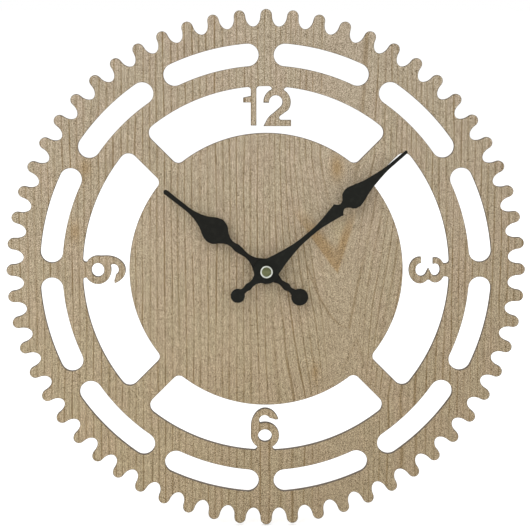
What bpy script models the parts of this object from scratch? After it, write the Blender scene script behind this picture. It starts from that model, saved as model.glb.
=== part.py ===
"""Gear-shaped wooden wall clock with a quartz movement.

Metres, +Z up, the dial faces -Y. The origin is on the hand shaft, in the plane of the wall.
Every piece is drawn in a frame of its own: x to the right, y up, and z the depth in front of the
wall. A quarter turn about X then stands it up, so a depth of 0.02 lies at world y = -0.02.
"""

import math

import bmesh
import bpy

# Board, from the hub out to the teeth
BOARD_THICKNESS = 0.0050
HUB_RADIUS = 0.0896
WINDOW_HEIGHT = 0.0305
RING_WIDTH = 0.01335  # between the windows and the slots
SLOT_WIDTH = 0.01465
RIM_WIDTH = 0.0108  # between the slots and the valleys
TOOTH_HEIGHT = 0.0111
TIP_ROUNDING = 0.0041  # height of a tooth's round end
TOOTH_SHARE = 0.435  # of the pitch that a tooth takes where its round end starts
TOOTH_COUNT = 60
SLOT_COUNT = 12
RIB_WIDTH = 0.0098
WINDOW_COUNT = 4
SPOKE_WIDTH = 0.0153
WINDOW_OUTER_CORNER = 0.0060
WINDOW_INNER_CORNER = 0.0045

# Numerals, left standing in the windows and joined to the ring by a neck
NUMERAL_CLEARANCE = 0.0045  # between the hub and the foot of the 12
ONE_LEFT = -0.0100
ONE_STROKE = 0.00365
TWO_LEFT = -0.0017
TWO_RIGHT = 0.0162
TWO_BAR = 0.0040
TWO_BOWL = 0.0089
TWO_COUNTER = 0.00435
BOWL_LIFT = 0.0157  # of the 2's bowl above the base
THREE_SHIFT = 0.0005
SIX_SHIFT = 0.0007
NINE_SHIFT = 0.0
NECK_DEPTH = 0.0030  # how far a neck runs into the ring

# Clearances
GAP = 0.0003  # between pieces that rest on each other or turn in each other
CUT_MARGIN = 0.0010  # how far a cutter runs past what it cuts

# Movement case
CASE_WALL = 0.0010
SPRING_ROOM = 0.0025  # behind the battery, for the bowed contact
BATTERY_INSET = 0.0002  # of the battery's rear behind the case's rear
CASE_CORNER = 0.0020
FINGER_WIDTH = 0.0160  # of the notch below the battery
FINGER_DEPTH = 0.0050
TONGUE_HEIGHT = 0.0160  # of the cover's latch tongues above the shaft
TONGUE_WIDTH = 0.0060
TONGUE_DEPTH = 0.0060
COVER_THICKNESS = 0.0012
BUSHING_RADIUS = 0.0040
BUSHING_LENGTH = 0.0119

# What is clamped on the bushing
HANGER_THICKNESS = 0.0008
HANGER_WIDTH = 0.0240
HANGER_RISE = 0.0150  # of the nail plate above the case
HANGER_EYE_RADIUS = 0.0130
NAIL_HOLE_WIDTH = 0.0120
NAIL_HOLE_HEIGHT = 0.0080
NAIL_CORNER = 0.0025
WALL_GAP = 0.0002  # between the nail plate and the wall
GASKET_RADIUS = 0.0110
GASKET_THICKNESS = 0.0010
WASHER_RADIUS = 0.0070
WASHER_THICKNESS = 0.0006
NUT_ACROSS_FLATS = 0.0120
NUT_THICKNESS = 0.0022

# Battery, an AA cell
BATTERY_RADIUS = 0.00725
BATTERY_BODY = 0.0492
BATTERY_CAP_RADIUS = 0.00275
BATTERY_CAP_LENGTH = 0.0013
BATTERY_EDGE = 0.0005
CONTACT_THICKNESS = 0.0004
CONTACT_WIDTH = 0.0080
CONTACT_ARM = 0.0022  # width of the arm that runs to the circuit board
CONTACT_LAP = 0.0020  # how far the arm reaches behind the circuit board

# Shafts, from the inside out
ARBOR_RADIUS = 0.0004
SECONDS_ARBOR_RADIUS = 0.00045
MINUTE_SHAFT_RADIUS = 0.0016
MINUTE_FLAT = 0.0012  # half the width across the flats that drive the hand
MINUTE_BORE_RADIUS = 0.00075
HOUR_TUBE_BORE = 0.0019
HOUR_TUBE_RADIUS = 0.0025
MINUTE_ARBOR_RADIUS = 0.0009

# Gear train: teeth, and the module of each pair
ROTOR_LEAVES = 6
FIFTH_TEETH = 36
FIFTH_LEAVES = 6
SECONDS_TEETH = 30
SECONDS_LEAVES = 6
THIRD_TEETH = 48
THIRD_LEAVES = 6
CENTRE_TEETH = 45
CANNON_LEAVES = 10
MINUTE_TEETH = 30
MINUTE_LEAVES = 8
HOUR_TEETH = 32
ROTOR_MODULE = 0.00030
FIFTH_MODULE = 0.00046
SECONDS_MODULE = 0.00030
MOTION_MODULE = 0.00045
WHEEL_ADDENDUM = 0.80  # in modules
WHEEL_DEDENDUM = 1.00
WHEEL_TOOTH_SHARE = 0.50  # of the pitch that a tooth takes at its foot
LEAF_ADDENDUM = 0.70
LEAF_DEDENDUM = 1.30
LEAF_ROOT_SHARE = 0.30
LEAF_TIP_SHARE = 0.16
CANNON_DEDENDUM = 1.00
WHEEL_THICKNESS = 0.0008
PINION_OVERLAP = 0.0003  # how far a pinion is longer than its wheel, at each end

# Where the axes lie, as angles from the shaft, counterclockwise from three o'clock
FIFTH_ANGLE = 75.0
ROTOR_ANGLE = 40.0  # seen from the fifth wheel
THIRD_ANGLE = 150.0
MINUTE_ANGLE = 0.0

# Middle plate and bearings
LAYER_SPACE = 0.0010  # from one wheel's front face to the next wheel's back
PLATE_THICKNESS = 0.0008
PLATE_WIDTH = 0.0290
PLATE_MARGIN = 0.0045
PLATE_POST_RADIUS = 0.0014
BOSS_WALL = 0.0006
BOSS_HEIGHT = 0.0014  # above the rear cover's inner face
PIVOT_LENGTH = 0.0007  # of an arbor's end inside its boss
SOCKET_DEPTH = 0.0007  # of the minute arbor's hole in the front wall

# Stepping motor
ROTOR_RADIUS = 0.0025
ROTOR_LENGTH = 0.0026
AIR_GAP = 0.0005
STATOR_DEPTH = 0.0065
STATOR_THICKNESS = 0.0008
STATOR_RING = 0.0011
STATOR_LEG = 0.0036
LEG_CLEARANCE = 0.0010  # between the bobbin's end and a leg of the stator
CORE_WIDTH = 0.0030
BOBBIN_LENGTH = 0.0202
BOBBIN_FLANGE = 0.0010
BOBBIN_FLANGE_RADIUS = 0.0052
BOBBIN_TUBE_RADIUS = 0.0029
WINDING_RADIUS = 0.0048

# Setting knob
KNOB_RADIUS = 0.0045
KNOB_THICKNESS = 0.0017
KNOB_EDGE = 0.0004
KNOB_NOTCHES = 10
WELL_WALL = 0.0008
ENTRY_CLEARANCE = 0.0003  # more than the usual gap, so that fingertips reach the knob

# Circuit board
CIRCUIT_WIDTH = 0.0135
CIRCUIT_HEIGHT = 0.0145
CIRCUIT_DEPTH = 0.0122
CIRCUIT_THICKNESS = 0.0008
CRYSTAL_RADIUS = 0.0010
CRYSTAL_LENGTH = 0.0060
CHIP_RADIUS = 0.0030
CHIP_HEIGHT = 0.0012

# Hands
HAND_THICKNESS = 0.0005
HAND_HUB_RADIUS = 0.0083
HOUR_HAND_LENGTH = 0.0850
HOUR_BALL_RADIUS = 0.0055
HOUR_BALL_REACH = 0.0273
HOUR_COLLET_RADIUS = 0.0040
HOUR_COLLET_THICKNESS = 0.0017
MINUTE_HAND_LENGTH = 0.1203
MINUTE_BALL_RADIUS = 0.0047
MINUTE_BALL_REACH = 0.0246
HAND_SPACING = 0.0016  # between the hour hand's face and the minute hand's back
HOUR_HAND_ANGLE = 308.3  # clockwise from twelve
MINUTE_HAND_ANGLE = 49.4
CAP_RADIUS = 0.00415
CAP_LENGTH = 0.0040
CAP_RIM = 0.0007
CAP_DISH = 0.0004
CAP_FLOOR = 0.0016  # from the dish to the end of the minute shaft

# Places on the board, worked out from the sizes above
WINDOW_OUTER_RADIUS = HUB_RADIUS + WINDOW_HEIGHT
SLOT_INNER_RADIUS = WINDOW_OUTER_RADIUS + RING_WIDTH
SLOT_OUTER_RADIUS = SLOT_INNER_RADIUS + SLOT_WIDTH
ROOT_RADIUS = SLOT_OUTER_RADIUS + RIM_WIDTH
TIP_RADIUS = ROOT_RADIUS + TOOTH_HEIGHT
SHOULDER_RADIUS = TIP_RADIUS - TIP_ROUNDING  # where the rounded tip meets the rounded valley
NUMERAL_BASE_RADIUS = HUB_RADIUS + NUMERAL_CLEARANCE

# Places in the movement: the case is square, and as wide as the battery with its contacts needs
POSITIVE_ROOM = CONTACT_THICKNESS + 2 * GAP
BATTERY_LENGTH = BATTERY_BODY + BATTERY_CAP_LENGTH
CASE_WIDTH = SPRING_ROOM + BATTERY_LENGTH + POSITIVE_ROOM + 2 * CASE_WALL
HALF_CASE = CASE_WIDTH / 2
CHAMBER_SIDE = HALF_CASE - CASE_WALL
BAY_BOTTOM = CASE_WALL - HALF_CASE
BAY_TOP = BAY_BOTTOM + 2 * BATTERY_RADIUS + 2 * GAP
CHAMBER_BOTTOM = BAY_TOP + CASE_WALL
COVER_SEAT = COVER_THICKNESS + GAP
BOSS_TOP = COVER_THICKNESS + BOSS_HEIGHT
PIVOT_DEPTH = BOSS_TOP - PIVOT_LENGTH
KNOB_FRONT = GAP + KNOB_THICKNESS
FIFTH_DEPTH = KNOB_FRONT + WELL_WALL + 2 * GAP
SECONDS_DEPTH = FIFTH_DEPTH + WHEEL_THICKNESS + LAYER_SPACE
THIRD_DEPTH = SECONDS_DEPTH + WHEEL_THICKNESS + LAYER_SPACE
CENTRE_DEPTH = THIRD_DEPTH + WHEEL_THICKNESS + LAYER_SPACE
PLATE_DEPTH = CENTRE_DEPTH + WHEEL_THICKNESS + PINION_OVERLAP + GAP
FRONT_PIVOT = PLATE_DEPTH + PLATE_THICKNESS
MINUTE_DEPTH = FRONT_PIVOT + GAP + PINION_OVERLAP

# The case is as deep as the battery or the train needs, whichever is more
BATTERY_ROOM = BATTERY_INSET + 2 * BATTERY_RADIUS + GAP
TRAIN_ROOM = MINUTE_DEPTH + 2 * WHEEL_THICKNESS + LAYER_SPACE + GAP
WALL_INSIDE = max(BATTERY_ROOM, TRAIN_ROOM)
CASE_DEPTH = WALL_INSIDE + CASE_WALL
BATTERY_DEPTH = WALL_INSIDE - GAP - BATTERY_RADIUS
BATTERY_HEIGHT = (BAY_BOTTOM + BAY_TOP) / 2
BATTERY_END = SPRING_ROOM - CHAMBER_SIDE
HOUR_DEPTH = WALL_INSIDE - GAP - WHEEL_THICKNESS
MINUTE_ARBOR_END = WALL_INSIDE + SOCKET_DEPTH - GAP

# Places of what is clamped on the bushing, and of the hands
HANGER_REAR = CASE_DEPTH + GAP
HANGER_SHELF = HALF_CASE + 2 * GAP
GASKET_REAR = HANGER_REAR + HANGER_THICKNESS + GAP
BOARD_BACK = GASKET_REAR + GASKET_THICKNESS + GAP
BOARD_FRONT = BOARD_BACK + BOARD_THICKNESS
WASHER_REAR = BOARD_FRONT + GAP
NUT_REAR = WASHER_REAR + WASHER_THICKNESS + GAP
BUSHING_END = CASE_DEPTH + BUSHING_LENGTH
COLLET_REAR = BUSHING_END + GAP
HOUR_HAND_REAR = COLLET_REAR + HOUR_COLLET_THICKNESS + GAP
HOUR_HAND_FRONT = HOUR_HAND_REAR + HAND_THICKNESS
HOUR_TUBE_END = HOUR_HAND_FRONT + GAP
MINUTE_HAND_REAR = HOUR_HAND_FRONT + HAND_SPACING
MINUTE_HAND_FRONT = MINUTE_HAND_REAR + HAND_THICKNESS
CAP_REAR = MINUTE_HAND_FRONT + GAP
CAP_FRONT = CAP_REAR + CAP_LENGTH
MINUTE_SHAFT_END = CAP_FRONT - CAP_DISH - CAP_FLOOR

# Distances between the arbors, and the motor's and the circuit board's places
MOTION_DISTANCE = MOTION_MODULE * (CANNON_LEAVES + MINUTE_TEETH) / 2
HOUR_MODULE = 2 * MOTION_DISTANCE / (MINUTE_LEAVES + HOUR_TEETH)
FIFTH_DISTANCE = FIFTH_MODULE * (FIFTH_LEAVES + SECONDS_TEETH) / 2
ROTOR_DISTANCE = ROTOR_MODULE * (ROTOR_LEAVES + FIFTH_TEETH) / 2
THIRD_DISTANCE = SECONDS_MODULE * (SECONDS_LEAVES + THIRD_TEETH) / 2
THIRD_MODULE = 2 * THIRD_DISTANCE / (THIRD_LEAVES + CENTRE_TEETH)
CORE_HEIGHT = CHAMBER_SIDE - GAP - BOBBIN_FLANGE_RADIUS
CIRCUIT_LEFT = GAP - CHAMBER_SIDE
CIRCUIT_TOP = CHAMBER_SIDE - GAP


def clear_scene():
    for old in list(bpy.data.objects):
        bpy.data.objects.remove(old, do_unlink=True)


clear_scene()
PARTS = bpy.data.collections.new("industrial_clock")
CUTTERS = bpy.data.collections.new("cutters")
bpy.context.scene.collection.children.link(PARTS)
bpy.context.scene.collection.children.link(CUTTERS)


def material(piece, finish):
    """Makes a piece's own material, named after the finish and the piece."""
    kind, colour, roughness, metallic = finish
    new = bpy.data.materials.new(kind + "_" + piece)
    new.use_nodes = True
    shader = new.node_tree.nodes["Principled BSDF"]
    shader.inputs["Base Color"].default_value = (*colour, 1.0)
    shader.inputs["Roughness"].default_value = roughness
    shader.inputs["Metallic"].default_value = metallic
    new.diffuse_color = (*colour, 1.0)
    return new


def stand_up(piece, at=(0.0, 0.0)):
    """Turns a piece from its flat frame to the upright one, with its own axis at (x, height)."""
    piece.rotation_euler = (math.radians(90), 0.0, 0.0)
    piece.location = (at[0], 0.0, at[1])
    return piece


def lay_across(piece, depth, height):
    """Lays a turned piece on its side, so that its axis runs from left to right."""
    piece.rotation_euler = (0.0, math.radians(90), 0.0)
    piece.location = (0.0, -depth, height)
    return piece


def face_sideways(piece):
    """Stands a flat piece on edge: its x becomes the depth, and its own thickness runs across."""
    piece.rotation_euler = (math.radians(90), 0.0, math.radians(90))
    return piece


def smooth(piece):
    piece.data.shade_smooth()
    piece.data.set_sharp_from_angle(angle=math.radians(32))


def as_part(piece, name, finish):
    """Names a finished piece, gives it its material and puts it in the clock's collection."""
    piece.name = name
    piece.data.name = name
    piece.data.materials.clear()
    piece.data.materials.append(material(name, finish))
    smooth(piece)
    for group in list(piece.users_collection):
        group.objects.unlink(piece)
    PARTS.objects.link(piece)
    return piece


def as_cutter(piece):
    for group in list(piece.users_collection):
        group.objects.unlink(piece)
    CUTTERS.objects.link(piece)
    piece.hide_render = True
    piece.display_type = "WIRE"
    return piece


def change(piece, tool, operation):
    step = piece.modifiers.new(operation.lower(), "BOOLEAN")
    step.operation = operation
    step.solver = "EXACT"
    step.object = as_cutter(tool)
    return piece


def cut(piece, *tools):
    for tool in tools:
        change(piece, tool, "DIFFERENCE")
    return piece


def join(piece, *tools):
    for tool in tools:
        change(piece, tool, "UNION")
    return piece


def object_from(mesh_maker, name, at):
    mesh = bpy.data.meshes.new(name)
    shape = bmesh.new()
    mesh_maker(shape)
    bmesh.ops.recalc_face_normals(shape, faces=shape.faces)
    shape.to_mesh(mesh)
    shape.free()
    piece = bpy.data.objects.new(name, mesh)
    CUTTERS.objects.link(piece)
    return stand_up(piece, at)


def disc(radius, rear, front, at=(0.0, 0.0), sides=32, name="disc"):
    """A round bar along the shaft's direction."""

    def make(shape):
        bmesh.ops.create_cone(
            shape, cap_ends=True, segments=sides, radius1=radius, radius2=radius, depth=front - rear
        )
        bmesh.ops.translate(shape, verts=shape.verts, vec=(0.0, 0.0, (front + rear) / 2))

    return object_from(make, name, at)


def block(left, right, bottom, top, rear, front, corner=0.0, name="block"):
    """A box, with its four edges along the shaft's direction rounded where a corner is given."""

    def make(shape):
        bmesh.ops.create_cube(shape, size=1.0)
        bmesh.ops.scale(shape, verts=shape.verts, vec=(right - left, top - bottom, front - rear))
        middle = ((left + right) / 2, (bottom + top) / 2, (rear + front) / 2)
        bmesh.ops.translate(shape, verts=shape.verts, vec=middle)
        if corner:
            upright = []
            for edge in shape.edges:
                first, second = edge.verts
                if abs(first.co.z - second.co.z) > 1e-5:
                    upright.append(edge)
            bmesh.ops.bevel(shape, geom=upright, offset=corner, segments=4, profile=0.5, affect="EDGES")

    return object_from(make, name, (0.0, 0.0))


def sheet(loops, rear, front, at=(0.0, 0.0), name="sheet"):
    """A flat piece: closed outlines, holes among them, filled and given a thickness."""
    curve = bpy.data.curves.new(name, "CURVE")
    curve.dimensions = "2D"
    curve.fill_mode = "BOTH"
    curve.extrude = (front - rear) / 2
    for loop in loops:
        spline = curve.splines.new("POLY")
        spline.points.add(len(loop) - 1)
        spline.use_cyclic_u = True
        for point, (x, y) in zip(spline.points, loop):
            point.co = (x, y, 0.0, 1.0)
    drawn = bpy.data.objects.new(name, curve)
    CUTTERS.objects.link(drawn)
    depsgraph = bpy.context.evaluated_depsgraph_get()
    mesh = bpy.data.meshes.new_from_object(drawn.evaluated_get(depsgraph))
    bpy.data.objects.remove(drawn)
    bpy.data.curves.remove(curve)
    shape = bmesh.new()
    shape.from_mesh(mesh)
    bmesh.ops.remove_doubles(shape, verts=shape.verts, dist=1e-6)
    bmesh.ops.recalc_face_normals(shape, faces=shape.faces)
    bmesh.ops.translate(shape, verts=shape.verts, vec=(0.0, 0.0, (front + rear) / 2))
    shape.to_mesh(mesh)
    shape.free()
    piece = bpy.data.objects.new(name, mesh)
    CUTTERS.objects.link(piece)
    return stand_up(piece, at)


def turned(profile, at=(0.0, 0.0), sides=32, name="turned"):
    """A piece turned about its axis. The profile is (radius, depth), down its outer side."""
    mesh = bpy.data.meshes.new(name)
    points = [(radius, 0.0, depth) for radius, depth in profile]
    edges = [(i, i + 1) for i in range(len(points) - 1)]
    if profile[0][0] > 0.0:
        edges.append((len(points) - 1, 0))
    mesh.from_pydata(points, edges, [])
    piece = bpy.data.objects.new(name, mesh)
    CUTTERS.objects.link(piece)
    lathe = piece.modifiers.new("lathe", "SCREW")
    lathe.axis = "Z"
    lathe.steps = sides
    lathe.render_steps = sides
    lathe.use_merge_vertices = True
    lathe.merge_threshold = 0.00001
    lathe.use_normal_calculate = False
    return stand_up(piece, at)


def arc(centre, radii, start, end, steps):
    """Points along an ellipse's arc, from one angle to another in degrees, both ends included."""
    points = []
    for i in range(steps + 1):
        turn = math.radians(start + (end - start) * i / steps)
        points.append((centre[0] + radii[0] * math.cos(turn), centre[1] + radii[1] * math.sin(turn)))
    return points


def circle(radius, sides=32, centre=(0.0, 0.0)):
    return arc(centre, (radius, radius), 0, 360 * (sides - 1) / sides, sides - 1)


def polar(radius, angle):
    """A point at an angle in degrees, clockwise from twelve o'clock."""
    turn = math.radians(angle)
    return (radius * math.sin(turn), radius * math.cos(turn))


def turn_loop(loop, angle):
    """Turns an outline clockwise about the shaft by an angle in degrees."""
    turn = math.radians(angle)
    across, out = math.cos(turn), math.sin(turn)
    return [(x * across + y * out, y * across - x * out) for x, y in loop]


def axis_at(distance, angle, start=(0.0, 0.0)):
    turn = math.radians(angle)
    return (start[0] + distance * math.cos(turn), start[1] + distance * math.sin(turn))


FIFTH_AXIS = axis_at(FIFTH_DISTANCE, FIFTH_ANGLE)
ROTOR_AXIS = axis_at(ROTOR_DISTANCE, ROTOR_ANGLE, FIFTH_AXIS)
THIRD_AXIS = axis_at(THIRD_DISTANCE, THIRD_ANGLE)
MINUTE_AXIS = axis_at(MOTION_DISTANCE, MINUTE_ANGLE)


# The board

def toothed_outline():
    """The ring's outer edge: a rounded tip and a rounded valley for each tooth."""
    half_pitch = 180 / TOOTH_COUNT
    half_tip = half_pitch * TOOTH_SHARE
    half_valley = half_pitch - half_tip
    points = []
    for tooth in range(TOOTH_COUNT):
        middle = tooth * 2 * half_pitch
        for aside in (140, 90, 40):
            turn = math.radians(aside)
            radius = SHOULDER_RADIUS + (TIP_RADIUS - SHOULDER_RADIUS) * math.sin(turn)
            points.append(polar(radius, middle + half_tip * math.cos(turn)))
        for step in range(7):
            turn = math.radians(-90 + 30 * step)
            radius = SHOULDER_RADIUS - (SHOULDER_RADIUS - ROOT_RADIUS) * math.cos(turn)
            points.append(polar(radius, middle + half_pitch + half_valley * math.sin(turn)))
    return points


def slot_outline():
    """A curved slot with round ends, centred on twelve o'clock."""
    middle = (SLOT_OUTER_RADIUS + SLOT_INNER_RADIUS) / 2
    end = (SLOT_OUTER_RADIUS - SLOT_INNER_RADIUS) / 2
    aside = math.degrees(math.asin((RIB_WIDTH / 2 + end) / middle))
    sweep = 180 / SLOT_COUNT - aside
    right = polar(middle, sweep)
    left = polar(middle, -sweep)
    points = arc((0, 0), (SLOT_OUTER_RADIUS, SLOT_OUTER_RADIUS), 90 + sweep, 90 - sweep, 5)
    points += arc(right, (end, end), 90 - sweep, -90 - sweep, 6)[1:-1]
    points += arc((0, 0), (SLOT_INNER_RADIUS, SLOT_INNER_RADIUS), 90 - sweep, 90 + sweep, 5)
    points += arc(left, (end, end), 270 + sweep, 90 + sweep, 6)[1:-1]
    return points


def window_outline():
    """The opening between two spokes, centred on twelve o'clock, with its four corners rounded."""
    half_spoke = SPOKE_WIDTH / 2
    spoke = 180 / WINDOW_COUNT

    def corner(radius, outward):
        """Where a fillet's centre lies beside the spoke, and its own angle about the shaft."""
        reach = (WINDOW_OUTER_RADIUS - radius) if outward else (HUB_RADIUS + radius)
        across = half_spoke + radius
        along = math.sqrt(reach * reach - across * across)
        return turn_loop([(-across, along)], spoke)[0]

    outer = corner(WINDOW_OUTER_CORNER, True)
    inner = corner(WINDOW_INNER_CORNER, False)
    outer_angle = math.degrees(math.atan2(outer[1], outer[0]))
    inner_angle = math.degrees(math.atan2(inner[1], inner[0]))
    right = arc(outer, (WINDOW_OUTER_CORNER,) * 2, outer_angle, -spoke, 5)
    right += arc(inner, (WINDOW_INNER_CORNER,) * 2, -spoke, inner_angle - 180, 5)
    left = [(-x, y) for x, y in reversed(right)]
    hub = arc((0, 0), (HUB_RADIUS, HUB_RADIUS), inner_angle, 180 - inner_angle, 14)[1:-1]
    ring = arc((0, 0), (WINDOW_OUTER_RADIUS,) * 2, 180 - outer_angle, outer_angle, 16)[1:-1]
    return right + hub + left + ring


def neck(left, right, start):
    """The bar that joins a numeral to the ring."""
    end = WINDOW_OUTER_RADIUS + NECK_DEPTH
    return [(left, start), (right, start), (right, end), (left, end)]


def numeral_one():
    right = ONE_LEFT + ONE_STROKE
    end = WINDOW_OUTER_RADIUS + NECK_DEPTH
    foot = NUMERAL_BASE_RADIUS + 0.0004
    tip = ONE_LEFT - 0.0050
    return [
        (right, foot),
        (right, end),
        (ONE_LEFT, end),
        (ONE_LEFT, foot + 0.0192),
        (tip, foot + 0.0181),
        (tip, foot + 0.0150),
        (ONE_LEFT, foot + 0.0150),
        (ONE_LEFT, foot),
    ]


def numeral_two():
    base = NUMERAL_BASE_RADIUS
    bowl = (TWO_RIGHT - TWO_BOWL - 0.0002, base + BOWL_LIFT)
    counter = (bowl[0] - 0.0009, bowl[1])
    bar = base + TWO_BAR
    points = arc(bowl, (TWO_BOWL, TWO_BOWL), 183, -36, 13)
    points += arc((0.0100, bar + 0.0015), (0.0015, 0.0015), 130, 270, 4)
    points += [(TWO_RIGHT, bar), (TWO_RIGHT, base), (TWO_LEFT, base)]
    points += [(0.0, base + 0.0035), (0.0016, base + 0.0059), (0.0038, base + 0.0083)]
    points += arc(counter, (TWO_COUNTER, TWO_COUNTER), -44, 187, 12)
    return points


def numeral_three():
    """Two bowls one above the other, open to the left, with a short bar between them."""
    base = NUMERAL_BASE_RADIUS
    lower = (0.0, base + 0.0067)
    upper = (-0.0001, base + 0.0169)
    lower_hole = (-0.0004, base + 0.0076)
    upper_hole = (-0.0004, base + 0.0167)
    points = arc(lower, (0.0088, 0.0072), 173, 403, 14)
    points += arc(upper, (0.0083, 0.0063), -40, 195, 14)
    points += arc(upper_hole, (0.0040, 0.0032), 206, -72, 12)
    points += [(-0.0015, base + 0.0124)]
    points += arc(lower_hole, (0.0043, 0.00365), 70, -180, 11)
    return points


def numeral_six_hook():
    """The arm of the 6, from beside its bowl round to its free end, seen from the shaft."""
    base = NUMERAL_BASE_RADIUS
    points = [(0.0053, base + 0.0161), (0.0093, base + 0.0171)]
    points += arc((-0.0001, base + 0.0104), (0.0095, 0.0125), 0, -155, 14)
    points += [(-0.0069, base + 0.0055), (-0.0046, base + 0.0047)]
    points += arc((0.0003, base + 0.0058), (0.0036, 0.0033), 205, 400, 10)
    return points


def numeral_six_bowl():
    middle = (0.0001, NUMERAL_BASE_RADIUS + 0.0161)
    bowl = arc(middle, (0.00935, 0.0088), 0, 348, 29)
    hole = arc(middle, (0.0045, 0.0041), 0, 345, 23)
    return [bowl, hole]


def shifted(loop, aside):
    return [(x + aside, y) for x, y in loop]


def numeral_shapes(hour):
    """The outlines that make one numeral, each a list of loops, at twelve o'clock."""
    top = NUMERAL_BASE_RADIUS + 0.0214
    if hour == 12:
        return [[numeral_one()], [numeral_two()], [neck(0.0036, 0.0115, top)]]
    if hour == 3:
        shapes = [[numeral_three()], [neck(-0.0045, 0.0042, top)]]
        return [[shifted(loop, THREE_SHIFT) for loop in shape] for shape in shapes]
    aside = SIX_SHIFT if hour == 6 else NINE_SHIFT
    shapes = [[numeral_six_hook()], numeral_six_bowl(), [neck(-0.0049, 0.0053, top)]]
    return [[shifted(loop, aside) for loop in shape] for shape in shapes]


def make_board(look):
    loops = [toothed_outline(), circle(BUSHING_RADIUS + GAP)]
    for number in range(SLOT_COUNT):
        loops.append(turn_loop(slot_outline(), (number + 0.5) * 360 / SLOT_COUNT))
    board = sheet(loops, BOARD_BACK, BOARD_FRONT)
    for number, hour in enumerate((12, 3, 6, 9)):
        angle = number * 360 / WINDOW_COUNT
        rear, front = BOARD_BACK - CUT_MARGIN, BOARD_FRONT + CUT_MARGIN
        opening = sheet([turn_loop(window_outline(), angle)], rear, front)
        for loops in numeral_shapes(hour):
            kept = [turn_loop(loop, angle) for loop in loops]
            cut(opening, sheet(kept, rear - CUT_MARGIN, front + CUT_MARGIN))
        cut(board, opening)
    return as_part(board, "face_panel", look)


# Hands

def hand_outline(stations, ball_reach, ball_radius, length, tip_width):
    """A hand pointing up: a ball, an arm, the hub, a shaped blade and a tip, mirrored about its axis.

    The stations are (distance from the shaft, half width); the curve runs smoothly through them.
    """
    behind = [s for s in stations if s[0] < -HAND_HUB_RADIUS]
    ahead = [s for s in stations if s[0] > 0]
    ball_side = math.degrees(math.asin(behind[0][1] / ball_radius))
    side = [(y, x) for x, y in arc((-ball_reach, 0), (ball_radius,) * 2, 180, ball_side, 9)]
    side += smooth_run([(half, along) for along, half in behind])
    first = math.degrees(math.atan2(behind[-1][1], behind[-1][0])) - 14
    last = math.degrees(math.atan2(ahead[0][1], ahead[0][0]))
    side += [(y, x) for x, y in arc((0, 0), (HAND_HUB_RADIUS,) * 2, first, last, 7)][:-1]
    side += smooth_run([(half, along) for along, half in ahead] + [(tip_width, length - tip_width)])
    side += [(tip_width * 0.7, length - tip_width * 0.3), (0.0, length)]
    return side + [(-x, y) for x, y in reversed(side[1:-1])]


def smooth_run(points):
    """A Catmull-Rom curve through the points, with one more point between each two."""
    padded = [points[0]] + points + [points[-1]]
    run = []
    for a, b, c, d in zip(padded, padded[1:], padded[2:], padded[3:]):
        middle = [(9 * (b[k] + c[k]) - a[k] - d[k]) / 16 for k in range(2)]
        run += [b, tuple(middle)]
    return run + [points[-1]]


HOUR_STATIONS = [
    (-0.0221, 0.0022), (-0.0195, 0.0016), (-0.0169, 0.0026), (-0.0143, 0.0020), (-0.0117, 0.0017),
    (0.0062, 0.0056), (0.0091, 0.0037), (0.0117, 0.0025), (0.0143, 0.0018), (0.0169, 0.0016),
    (0.0208, 0.0021), (0.0247, 0.0025), (0.0273, 0.0019), (0.0299, 0.0020), (0.0325, 0.0029),
    (0.0351, 0.0046), (0.0377, 0.0072), (0.0403, 0.0084), (0.0429, 0.0088), (0.0455, 0.0082),
    (0.0481, 0.0070), (0.0507, 0.0053), (0.0533, 0.0040), (0.0585, 0.0023), (0.0637, 0.0015),
    (0.0700, 0.0014),
]
MINUTE_STATIONS = [
    (-0.0210, 0.0021), (-0.0182, 0.0018), (-0.0156, 0.0024), (-0.0130, 0.0019), (-0.0104, 0.0021),
    (0.0052, 0.0065), (0.0104, 0.0051), (0.0156, 0.0039), (0.0208, 0.0029), (0.0260, 0.0021),
    (0.0325, 0.0017), (0.0416, 0.0017), (0.0468, 0.0021), (0.0520, 0.0029), (0.0572, 0.0038),
    (0.0600, 0.0043), (0.0618, 0.0047), (0.0631, 0.0033), (0.0652, 0.0021), (0.0676, 0.0032),
    (0.0700, 0.0060),
    (0.0728, 0.0072), (0.0754, 0.0073), (0.0780, 0.0066), (0.0832, 0.0049), (0.0884, 0.0034),
    (0.0936, 0.0023), (0.0988, 0.0014), (0.1040, 0.0010), (0.1110, 0.0008),
]


def flattened(radius, flat, sides=24):
    """A circle with two flats, for the minute shaft's end and the hole that fits it."""
    side = math.degrees(math.asin(flat / radius))
    right = arc((0, 0), (radius, radius), -side, side, sides // 4)
    left = arc((0, 0), (radius, radius), 180 - side, 180 + side, sides // 4)
    return right + left


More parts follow.
